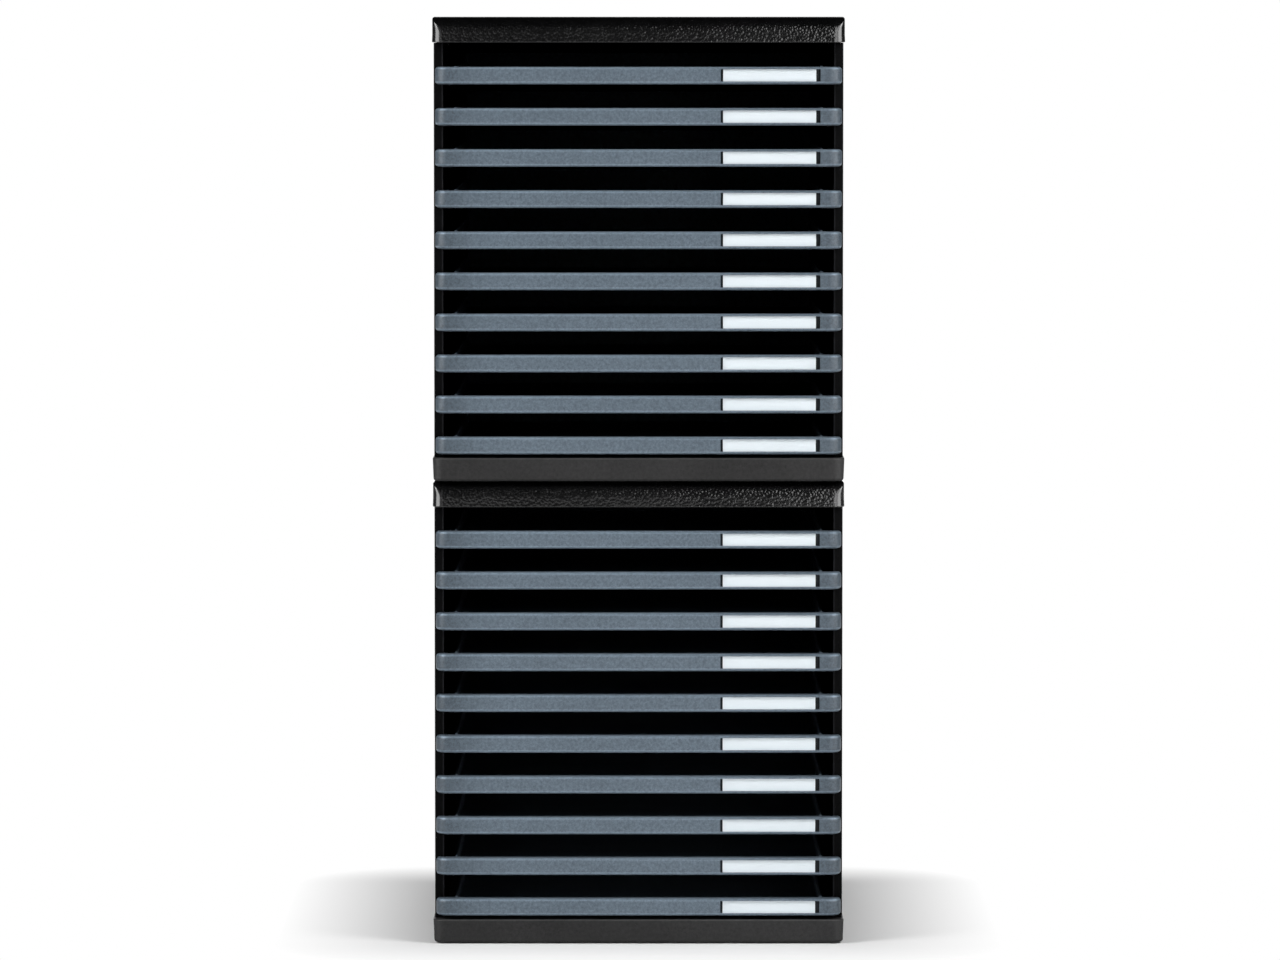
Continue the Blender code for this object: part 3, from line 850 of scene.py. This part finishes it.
@dataclass
class Plinth(Piece):
    """Hollow base plinth with a deck, a drawn-in skirt and bosses for the feet."""

    title, slot = "base", Slot.PLINTH
    wall: float = 2.5 * MM
    draft: float = 0.5 * MM
    corner: float = 7.5 * MM
    bottom_round: float = 2.0 * MM
    deck_round: float = 0.7 * MM
    chamfer: float = 0.3 * MM
    boss_radius: float = 9.5 * MM
    boss_bottom: float = 1.9 * MM
    boss_sides: int = 40

    def build(self, dress: Material) -> None:
        """Carry the skirt's profile round the plan, from under the deck down, round the foot and up.

        Args:
            dress: the piece's material.
        """
        low, high, draft = self.low, self.high, self.draft
        path = rounded(rectangle(low.x, high.x, low.y, high.y, self.corner), 14)
        inside, bottom, deck = draft + self.wall, low.z + self.bottom_round, high.z - self.deck_round
        foot_inset, foot_rise = quarter(self.bottom_round, 6)
        deck_inset, deck_rise = quarter(self.deck_round, 4)
        inset = column(inside, inside, inside - self.chamfer, draft + foot_inset[::-1], draft, 0.0)
        inset = column(inset, deck_inset, self.deck_round + SUPPORT)
        depth = column(high.z - self.wall, low.z + self.chamfer, low.z, bottom - foot_rise[::-1])
        depth = column(depth, bottom + SUPPORT, deck - SUPPORT, deck + deck_rise, high.z)
        shape = Shape()
        shape.moulded(path, inset, depth)
        for x, y in foot_places(low, high):
            boss = circle(x, y, self.boss_radius, self.boss_sides)
            shape.bar(boss, low.z + self.boss_bottom, high.z - self.wall / 2, View.PLAN)
        made = self.make("moulding", shape, dress)

        def painted_edge_highlight(x: Array, y: Array, z: Array) -> Array:
            """Painted highlight: one on the deck's edge round and nothing below it."""
            beyond = np.maximum(np.abs(x) - high.x, np.abs(y) - high.y)
            return np.minimum(z - (deck - SUPPORT), beyond + 2 * self.deck_round) / SUPPORT

        mark(made, Mask.RUBBED, painted_edge_highlight)


@dataclass
class SidePanel(Piece):
    """Side panel: a plate with thick front and rear posts and a pair of runners for each drawer."""

    hand: Hand
    title, slot = "{hand.name}_side", Slot.PANEL
    plate: float = 3.0 * MM
    post: float = 6.4 * MM
    front_post: float = 10 * MM
    rear_post: float = 18 * MM
    groove: Triple = (3.4 * MM, 6.0 * MM, 3.0 * MM)
    peg: float = 8.0 * MM
    edge_round: float = 0.9 * MM
    inner_round: float = 0.5 * MM
    end_round: float = 0.2 * MM
    join: float = 0.5 * MM
    runner: float = 1.8 * MM
    runner_round: float = 0.3 * MM
    runner_support: float = 0.05 * MM
    runner_setback: float = 0.3 * MM
    lower_runner: float = 1.3 * MM
    upper_runner: float = 5.5 * MM
    upper_length: float = 64 * MM
    # Painted highlight on the front post's inner edge round, and the reaches of that highlight and of the
    # lightened outer faces.
    edge_highlight: float = 0.45
    rub_reach: Pair = (0.6, 0.4)

    def _plate(self, shape: Shape, outer: float) -> None:
        """Carry the plan of the plate, its posts and the groove upwards, inside an outer half width.

        Args:
            shape: takes the faces.
            outer: distance from the tower's middle to the outer face.
        """
        low, high, edge, soft = self.low, self.high, self.edge_round, self.inner_round
        front, back, inner, face = low.y, high.y, outer - self.post, outer - self.plate
        near, far, deep = self.groove
        rear, post = back - self.rear_post, front + self.front_post
        plan = [(outer, front, edge), (outer, back, edge), (inner, back, soft), (inner, back - near)]
        plan += [(inner + deep, back - near), (inner + deep, back - far), (inner, back - far)]
        plan += [(inner, rear, soft), (face, rear, soft), (face, post, soft), (inner, post, soft)]
        plan += [(inner, front, edge)]
        corners = [Corner(self.hand.value * u, v, *radius) for u, v, *radius in plan]
        bottom, top = low.z + self.peg, high.z - self.peg
        shape.bar(rounded(corners, 6), bottom, top, View.PLAN, rim=self.end_round, steps=2)

    def build(self, dress: Material) -> None:
        """Make the panel, with runners at the heights of the unit's drawers.

        Args:
            dress: the piece's material.
        """
        low, high = self.low, self.high
        inner, outer = sorted((abs(low.x), abs(high.x)))
        shape = Shape()
        self._plate(shape, outer)
        start = low.y + self.runner_setback
        across = self.hand.span(inner, outer - self.plate + self.join)
        lower_end = high.y - self.rear_post + self.join
        ends = {self.lower_runner: lower_end, self.upper_runner: start + self.upper_length}
        for number in DRAWERS:
            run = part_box(self.unit.node(Drawer.title.format(number=number)))[0].z
            for top, end in ends.items():
                corners = rectangle(*across, run + top - self.runner, run + top, self.inner_round)
                section = rounded(corners, 4, support=self.runner_support)
                shape.bar(section, start, end, View.FRONT, rim=self.runner_round)
        made = self.make("moulding", shape, dress)

        def tone_with_painted_light(x: Array, y: Array, z: Array) -> Array:
            """A painted highlight on the front post's inner edge round, and a share on the outer and back
            faces, paler than the painted-shade base.

            Args:
                x: X of the places.
                y: Y of the places.
                z: Z of the places.

            Returns:
                The value at each place.
            """
            near, far = (share * self.edge_round for share in self.rub_reach)
            across = np.abs(x) - (outer - self.post)
            edge = 2 - np.maximum(across, y - low.y) / near
            outside = 1 - np.minimum(self.post - across, high.y - y) / far
            return np.maximum(self.edge_highlight * np.clip(edge, 0, 1), OUTSIDE * np.clip(outside, 0, 1))

        mark(made, Mask.RUBBED, tone_with_painted_light)


@dataclass
class BackPanel(Piece):
    """Flat back panel with a tongue that rises into the lid."""

    title, slot = "back_panel", Slot.PANEL
    tongue: float = 4 * MM
    shoulder: float = 10 * MM
    corner: float = 1 * MM
    edge_round: float = 0.4 * MM

    def build(self, dress: Material) -> None:
        """Carry the panel's front outline through its thickness.

        Args:
            dress: the piece's material.
        """
        low, high = self.low, self.high
        step, left, right = high.z - self.tongue, low.x + self.shoulder, high.x - self.shoulder
        places = [(low.x, low.z), (high.x, low.z), (high.x, step), (right, step), (right, high.z)]
        places += [(left, high.z), (left, step), (low.x, step)]
        outline = rounded([Corner(*place, self.corner) for place in places], 4)
        shape = Shape()
        shape.bar(outline, low.y, high.y, View.FRONT, self.edge_round)
        made = self.make("sheet", shape, dress)
        # The back face is lightened; the face towards the drawers keeps the darker base colour as painted
        # shade.
        mark(made, Mask.RUBBED, lambda x, y, z: OUTSIDE * (1 - (high.y - y) / self.edge_round))


@dataclass
class Foot(Piece):
    """Round rubber foot with a dished underside."""

    place: str
    title, slot = "foot_{place}", Slot.FOOT
    edge_round: float = 0.7 * MM
    dish: float = 0.3 * MM
    dish_insets: Pair = (0.62, 0.5)
    sides: int = 56

    def build(self, dress: Material) -> None:
        """Carry a dished and rounded profile round a circle, from the dish outwards and up.

        Args:
            dress: the piece's material.
        """
        low, high = self.low, self.high
        radius = (high.x - low.x) / 2
        outline = circle((low.x + high.x) / 2, (low.y + high.y) / 2, radius, self.sides)
        inset, rise = quarter(self.edge_round, 4)
        insets = column(np.array(self.dish_insets) * radius, inset[::-1], inset)
        bottom, top = low.z + self.edge_round, high.z - self.edge_round
        shape = Shape()
        shape.moulded(outline, insets, column(low.z + self.dish, low.z, bottom - rise[::-1], top + rise))
        self.make("rubber", shape, dress)


@dataclass
class Drawer(Piece):
    """Open-fronted drawer: a hollow front bar with a label slot, and a tray that a ramp leads into."""

    number: int
    title, slot = "drawer_{number:02d}", Slot.DRAWER
    rides = title
    height: float = 12 * MM
    depth: float = 10.2 * MM
    corner: float = 9 * MM
    edge_round: float = 2.6 * MM
    wall: float = 3.2 * MM
    top_wall: float = 2 * MM
    top_reach: float = 6 * MM
    inner_margin: float = 15.1 * MM
    outer_margin: float = 13.1 * MM
    flange_margin: float = 6.1 * MM
    floor_under: float = 1.6 * MM
    floor_top: float = 3.6 * MM
    side_top: float = 12.4 * MM
    side_dip: float = 0.8 * MM
    dip_end: float = 13 * MM
    back_wall: float = 2 * MM
    back_slope: float = 26 * MM
    back_step: float = 0.5 * MM
    ramp_start: float = 9 * MM
    ramp_length: float = 24 * MM
    ramp_rows: int = 25
    floor_round: float = 1.5 * MM
    heel_round: float = 2 * MM
    dip_round: float = 2 * MM
    slope_round: float = 20 * MM
    shoulder_round: float = 1 * MM
    pan_rim: float = 0.1 * MM
    side_rim: float = 0.6 * MM
    plate_rim: float = 0.2 * MM
    slot_length: float = 68.5 * MM
    window: Pair = (1.9 * MM, 10.4 * MM)
    lip: float = 0.9 * MM
    lip_cover: float = 0.4 * MM
    slot_depth: float = 2.8 * MM
    slot_end: float = 0.02 * MM
    tray_start: float = 4 * MM
    pan_drop: float = 0.02 * MM
    flange: float = 1.8 * MM
    flange_end: float = 4 * MM
    flange_round: float = 0.5 * MM
    stop: Pair = (12 * MM, 5 * MM)
    stop_round: float = 0.8 * MM
    rim: float = 0.9 * MM
    chamfer: float = 0.3 * MM
    fillet: float = 0.4 * MM
    join: float = 0.6 * MM
    skin: float = 0.1 * MM
    hidden_drops: Pair = (0.04 * MM, 0.03 * MM)
    # Painted highlights along the front's long edge rounds, stronger round its corners.
    rub_lines: Pair = (11.0 * MM, 1.4 * MM)
    rub_width: float = 0.6 * MM
    rub_corner: Pair = (5.0 * MM, 2.2 * MM)
    rub_shares: Pair = (0.3, 0.42)
    # Painted shade that darkens the front towards both ends: its share and length.
    end_shade: Pair = (0.42, 22 * MM)

    def _sections(self) -> tuple[Array, Array]:
        """Closed sections of the front bar, plain and through the label slot, row for row.

        The face's long edges are quarter rounds: at the height z within a round of radius r, the face lies
        r - sqrt(r r - (r - z) (r - z)) behind its flat. Through the slot, the rows between the window's
        edges step in behind the lips and follow the slot's floor.

        Returns:
            Depth behind the face and height, for each row of both sections.
        """
        r, top, wall, reach = self.edge_round, self.height, self.wall, self.top_reach
        under = top - self.top_wall
        floor, lintel = self.window
        first, strips = 9, np.radians([0.15, 0.3, 0.45])
        last = first + len(strips)

        def edge(height: float) -> Array:
            """Rows of an edge round up to the flat, close together just past a height.

            Args:
                height: distance of the window's edge from the front's edge.

            Returns:
                Depth behind the face and distance from the front's edge, for each row.
            """
            split = math.acos(1 - height / r)
            rest = np.linspace(split + 0.03, math.pi / 2, 4)
            angles = np.concatenate([np.linspace(0, split, first), split + strips, rest])
            return np.stack([r * (1 - np.sin(angles)), r * (1 - np.cos(angles))], axis=-1)

        flat = [(0, top - r - SUPPORT), (0, r + SUPPORT)]
        face = np.concatenate([(0, top) + (1, -1) * edge(top - lintel), flat, edge(floor)[::-1]])
        hidden = [(wall - self.chamfer, 0), (wall, self.chamfer), (wall, under - self.fillet)]
        hidden += [(wall + self.fillet, under), (reach, under), (reach, top - self.chamfer)]
        hidden += [(reach - self.join, top), (r + SUPPORT, top)]
        slotted = face.copy()
        slotted[first:-first, 0] = self.slot_depth
        upper, lower = lintel + self.lip_cover, floor - self.lip_cover
        slotted[first:last] = [(self.lip, lintel), (self.lip, upper), (self.slot_depth, upper)]
        slotted[-last:-first] = [(self.slot_depth, lower), (self.lip, lower), (self.lip, floor)]
        return np.concatenate([face, hidden]), np.concatenate([slotted, hidden])

    def _front(self) -> Shape:
        """Carry the bar's section along the front and round both ends, and close the ends' backs.

        Returns:
            Points and faces of the front.
        """
        low, half, step = self.low, self.high.x, self.slot_end
        right = half - self.inner_margin
        left = right - self.slot_length
        back, rear = self.depth - self.skin, low.y + self.depth
        fades = self.corner + self.end_shade[1] * np.linspace(0.2, 2, 9) - half
        corners = [Corner(-half, back), Corner(-half, 0, self.corner)]
        corners += [Corner(u, 0) for u in (*fades, left - step, left, right, right + step)]
        corners += [Corner(half, 0, self.corner), Corner(half, back)]
        path = rounded(corners, 16, closed=False)
        plain, slotted = self._sections()
        across, behind = path.points.T
        within = (behind < step) & (across > left - step / 2) & (across < right + step / 2)
        section = np.where(within[:, None, None], slotted[None], plain[None])
        x = across[:, None] + section[..., 0] * path.left[:, :1]
        y = behind[:, None] + section[..., 0] * path.left[:, 1:]
        shape = Shape()
        shape.rings(View.PLAN.place(x, low.y + y, low.z + section[..., 1]), len(x))
        soft, bottom = self.edge_round - self.skin, low.z + self.skin
        crown, cover = (low.z + self.height - drop for drop in self.hidden_drops)
        for hand in Hand:
            inner, outer = hand.value * (right - self.fillet), hand.value * (half - self.skin)
            plate = [Corner(inner, bottom), Corner(outer, bottom, soft)]
            plate += [Corner(outer, crown, soft), Corner(inner, crown)]
            start = rear - self.top_wall
            shape.bar(rounded(plate, 6), start, rear, View.FRONT, rim=self.plate_rim, steps=2)
            ends = hand.span(right - self.fillet, half - self.tray_start)
            plan = rectangle(*ends, low.y + self.top_reach - self.join, rear - self.fillet)
            under = cover - self.top_wall
            shape.bar(rounded(plan, 1), under, cover, View.PLAN, rim=self.skin, steps=2)
        return shape

    def _ramp(self, start: float, top: float) -> Array:
        """Half wave z = top - fall (1 - cos(pi t)) / 2, along y = start + length t, for t from 0 to 1.

        Args:
            start: where it starts, behind the face.
            top: height there, above the drawer's underside.

        Returns:
            Rows of y and z.
        """
        part = np.linspace(0, 1, self.ramp_rows)
        fall = (self.height - self.floor_top) * (1 - np.cos(math.pi * part)) / 2
        return np.stack([start + self.ramp_length * part, top - fall], axis=-1)

    def _tray(self) -> Shape:
        """Carry the pan's side outline across the drawer, and add side walls, flanges and stops.

        Returns:
            Points and faces of the tray.
        """
        low, high = self.low, self.high
        over = self._ramp(self.ramp_start, self.height - self.pan_drop)
        under = self._ramp(self.ramp_start - self.top_wall, self.height - self.top_wall)
        length, rise = high.y - low.y, high.z - low.z
        well, start, bottom, rim = length - self.back_wall, self.tray_start, self.floor_under, self.rim
        heel = (length, bottom, self.heel_round)
        pan = [(start, over[0, 1]), *over, (well, self.floor_top, self.floor_round)]
        pan += [(well, rise, rim), (length, rise, rim), heel]
        pan += [*under[::-1], (start, under[0, 1])]
        dip = self.side_top - self.side_dip
        side = [(start, bottom), heel, (length, rise, rim)]
        side += [(well - self.back_step, rise, self.shoulder_round)]
        side += [(well - self.back_slope, self.side_top, self.slope_round)]
        side += [(self.dip_end, self.side_top, self.dip_round), (self.ramp_start, dip), (start, dip)]
        front, end, top = self.depth - self.join, length - self.flange_end, bottom + self.flange
        stop_front, stop_top, soft = end - self.stop[0], top + self.stop[1], self.stop_round
        flange = [(front, bottom), (end, bottom, self.flange_round), (end, stop_top, soft)]
        flange += [(stop_front, stop_top, soft), (stop_front, top, soft), (front, top)]
        inner, outer = high.x - self.inner_margin, high.x - self.outer_margin
        bars = [(pan, (-inner - self.join, inner + self.join), self.pan_rim)]
        for hand in Hand:
            reach = hand.span(outer - self.join, high.x - self.flange_margin)
            bars += [(side, hand.span(inner, outer), self.side_rim), (flange, reach, RIM)]
        shape = Shape()
        for places, reach, rim in bars:
            corners = [Corner(u + low.y, v + low.z, *radius) for u, v, *radius in places]
            shape.bar(rounded(corners, 6), *reach, View.SIDE, rim)
        return shape

    def build(self, dress: Material) -> None:
        """Make the front and the tray in the drawer's material.

        Args:
            dress: the piece's material.
        """
        low, high = self.low, self.high
        front = self.make("front", self._front(), dress)

        def painted_edge_highlight(x: Array, y: Array, z: Array) -> Array:
            """Painted highlights: two soft paler lines along the long edges, the upper one stronger round the
            front's corners.

            Args:
                x: X of the places.
                y: Y of the places.
                z: Z of the places.

            Returns:
                The value at each place.
            """
            upper, lower = (bell(z - low.z - middle, self.rub_width) for middle in self.rub_lines)
            middle, width = self.rub_corner
            corner = bell(high.x - np.abs(x) - middle, width)
            along, under = self.rub_shares
            return (along + (1 - along) * corner) * upper + under * lower

        def painted_shade_places(x: Array, y: Array, z: Array) -> Array:
            """Painted shade: one behind the label slot's lips, and a share that fades away from the nearer
            end.

            Args:
                x: X of the places.
                y: Y of the places.
                z: Z of the places.

            Returns:
                The value at each place.
            """
            right, depth, rise = high.x - self.inner_margin, y - low.y, z - low.z
            along = np.minimum(right - x, x - right + self.slot_length) > -self.lip
            behind = (depth > self.lip / 2) & (depth < (self.slot_depth + self.wall) / 2)
            floor, lintel = self.window
            behind &= (rise > floor - 2 * self.lip_cover) & (rise < lintel + 2 * self.lip_cover)
            share, length = self.end_shade
            return np.maximum(along & behind, share * bell(high.x - np.abs(x), length))

        mark(front, Mask.RUBBED, painted_edge_highlight)
        mark(front, Mask.SOILED, painted_shade_places)
        self.make("tray", self._tray(), dress)


@dataclass
class LabelCard(Piece):
    """Thin card with a slight bow of its own, cut a little short of its slot's outer end."""

    number: int
    title, slot = "label_{number:02d}", Slot.LABEL
    rides = Drawer.title
    bow: float = 0.12 * MM
    short: float = 1.3 * MM
    grid: tuple[int, int] = (33, 9)

    def build(self, dress: Material) -> None:
        """Bend a closed sheet: it leaves its plane by bow (1 - u u) (1 - v v) / 2 + twist u v / 2.

        Args:
            dress: the piece's material.
        """
        low, high = self.low, self.high
        chance = np.random.default_rng(100 * self.number + len(self.unit.value) + ord(self.unit.value[0]))
        bow, twist = chance.uniform(-1, 1, 2) * (self.bow, self.bow / 2)
        u, v = np.meshgrid(*(np.linspace(-1, 1, count) for count in self.grid))
        bend = bow * (1 - u**2) * (1 - v**2) / 2 + twist * u * v / 2
        x = low.x + (u + 1) * (high.x - self.short - low.x) / 2
        z = (low.z + high.z) / 2 + v * (high.z - low.z) / 2
        count = u.size
        index = np.arange(count).reshape(u.shape)
        around = np.concatenate([index[0], index[1:, -1], index[-1, -2::-1], index[-2:0:-1, 0]])
        following = np.roll(around, -1)
        rim = np.stack([around, following, following + count, around + count], axis=-1)
        faces = grid_faces(*u.shape)
        sheets = [np.stack([x, y + bend, z], axis=-1).reshape(-1, 3) for y in (low.y, high.y)]
        shape = Shape()
        shape.add(np.concatenate(sheets), faces, faces + count, rim)
        self.make("card", shape, dress)


class Use(Enum):
    """What a lamp lights: whether diffuse surfaces see it, and whether glossy ones do."""

    ALL = (True, True)
    DIFFUSE = (True, False)
    GLOSS = (False, True)


class Softbox(NamedTuple):
    """One rectangular lamp: its place, aim, width and height, its power in watts and its use."""

    name: str
    place: Triple
    aim: Triple
    width: float
    height: float
    power: float
    use: Use = Use.ALL


@dataclass
class Studio:
    """White floor, soft light and the camera."""

    camera_place: Triple = (0.001, -5.175, 0.64)
    tilt: float = 0.0636
    lens: float = 204.5
    ambient: float = 0.09
    backdrop: Pair = (0.92, 0.985)
    overhead: Pair = (0.2, 0.7)
    floor_size: float = 6.0
    floor_rows: int = 13
    footprint: Triple = (0.142, 0.175, 1.0)
    floor_fade: Pair = (0.0, 0.11)
    softboxes: tuple[Softbox, ...] = (
        Softbox("left_key", (-1.5, -1.0, 1.65), (0, -0.15, 0.3), 0.9, 1.0, 28),
        Softbox("right_key", (1.5, -1.0, 1.65), (0, -0.15, 0.3), 0.9, 1.0, 28),
        Softbox("low_fill", (0, -1.3, 0.12), (0, -0.17, 0.2), 1.4, 0.2, 3.3, Use.DIFFUSE),
        Softbox("rear_fill", (0, 2.4, 0.3), (0, 0.2, 0.3), 1.2, 0.5, 9),
        Softbox("left_strip", (-1.85, -1.05, 0.75), (0, -0.15, 0.6), 1.5, 1.7, 68, Use.GLOSS),
        Softbox("right_strip", (1.85, -1.05, 0.75), (0, -0.15, 0.6), 1.5, 1.7, 66, Use.GLOSS),
        Softbox("right_glint", (0.42, -0.8, 0.7), (0.08, -0.15, 0.7), 0.25, 1.5, 6.0, Use.GLOSS),
        Softbox("left_glint", (-0.42, -0.8, 0.7), (-0.08, -0.15, 0.7), 0.25, 1.5, 0.6, Use.GLOSS),
    )

    def _camera(self) -> None:
        """Put the camera straight in front, looking slightly down."""
        lens = bpy.data.cameras.new("camera")
        lens.lens = self.lens
        lens.sensor_width = 36
        lens.sensor_fit = "HORIZONTAL"
        eye = put("camera", lens)
        eye.location = self.camera_place
        eye.rotation_euler = (math.pi / 2 - self.tilt, 0, 0)
        bpy.context.scene.camera = eye

    def _lamps(self) -> None:
        """Hang the softboxes, each turned to its aim."""
        for box in self.softboxes:
            lamp = bpy.data.lights.new(box.name, "AREA")
            lamp.shape = "RECTANGLE"
            lamp.size, lamp.size_y, lamp.energy = box.width, box.height, box.power
            hung = put(box.name, lamp)
            hung.location = box.place
            hung.visible_camera = False
            hung.visible_diffuse, hung.visible_glossy = box.use.value
            heading = Vector(box.aim) - Vector(box.place)
            hung.rotation_euler = heading.to_track_quat("-Z", "Y").to_euler()

    def _world(self) -> None:
        """Even light, seen as plain white; in the gloss it has a white backdrop and a dark ceiling."""
        world = bpy.data.worlds.new("light_tent")
        world.use_nodes = True
        world.node_tree.nodes.clear()
        graph = Graph(world.node_tree)
        heading = graph.add("ShaderNodeTexCoord").outputs["Generated"]
        heading = graph.add("ShaderNodeSeparateXYZ", {0: heading})
        backdrop = graph.spread(heading.outputs["Y"], *self.backdrop)
        paths = graph.add("ShaderNodeLightPath").outputs
        gloss = graph.math("MULTIPLY", paths["Is Glossy Ray"], backdrop)
        direct = graph.math("MAXIMUM", paths["Is Camera Ray"], paths["Is Transmission Ray"])
        seen = graph.math("MAXIMUM", direct, gloss)
        overhead = graph.spread(heading.outputs["Z"], *self.overhead)
        ceiling = graph.math("MULTIPLY", paths["Is Glossy Ray"], overhead)
        level = graph.math("MULTIPLY", graph.math("SUBTRACT", 1.0, ceiling), self.ambient)
        light = graph.add("ShaderNodeBackground", {"Color": WHITE, "Strength": level})
        white = graph.add("ShaderNodeBackground", {"Color": WHITE, "Strength": 1.0})
        mixed = graph.add("ShaderNodeMixShader", {0: seen, 1: light.outputs[0], 2: white.outputs[0]})
        graph.add("ShaderNodeOutputWorld", {"Surface": mixed.outputs[0]})
        bpy.context.scene.world = world

    def _floor(self) -> None:
        """Pale floor that takes the tower's shadow and fades to white away from it."""
        half, rows = self.floor_size / 2, self.floor_rows
        u, v = np.meshgrid(np.linspace(-half, half, rows), np.linspace(-half, half, rows))
        mesh = bpy.data.meshes.new("studio_floor")
        points = View.PLAN.place(u, v, np.array(0.0))
        mesh.from_pydata(points.tolist(), [], grid_faces(rows, rows).tolist())
        material = bpy.data.materials.new("studio_white")
        material.use_nodes = True
        graph = Graph(material.node_tree)
        shader = material.node_tree.nodes["Principled BSDF"]
        paint = {"Base Color": (0.93, 0.93, 0.93, 1), "Roughness": 0.9, "Specular IOR Level": 0.1}
        graph.feed(shader, paint)
        away = graph.vector("ABSOLUTE", graph.add("ShaderNodeTexCoord").outputs["Object"])
        away = graph.vector("MAXIMUM", graph.vector("SUBTRACT", away, self.footprint), (0, 0, 0))
        away = graph.add("ShaderNodeVectorMath", {0: away}, operation="LENGTH").outputs["Value"]
        fade = graph.spread(away, *self.floor_fade)
        paths = graph.add("ShaderNodeLightPath").outputs
        through = graph.math("MAXIMUM", paths["Is Glossy Ray"], paths["Is Transmission Ray"])
        seen = graph.math("MULTIPLY", fade, graph.math("MAXIMUM", paths["Is Camera Ray"], through))
        glow = graph.add("ShaderNodeEmission", {"Color": WHITE, "Strength": 1.0})
        mixed = graph.add("ShaderNodeMixShader", {0: seen, 1: shader.outputs[0], 2: glow.outputs[0]})
        graph.feed(material.node_tree.nodes["Material Output"], {"Surface": mixed.outputs[0]})
        mesh.materials.append(material)
        floor = put("studio_floor", mesh)

    def build(self) -> None:
        """Set up camera, lamps, surroundings and floor."""
        self._camera()
        self._lamps()
        self._world()
        self._floor()
        bpy.context.scene.view_settings.view_transform = "Standard"


def main() -> None:
    """Load the frame, and build every piece of both units and the studio."""
    logging.basicConfig(level=logging.INFO, format="%(message)s")
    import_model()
    dress = {slot: finish.material() for slot, finish in FINISHES.items()}
    for unit in Unit:
        pieces = [Lid(unit), Plinth(unit), *(SidePanel(unit, hand) for hand in Hand), BackPanel(unit)]
        pieces += [Foot(unit, place) for place in ("front_left", "front_right", "back_left", "back_right")]
        for number in DRAWERS:
            pieces += [Drawer(unit, number), LabelCard(unit, number)]
        for piece in pieces:
            piece.build(dress[piece.slot])
    Studio().build()


if __name__ == "__main__":
    main()
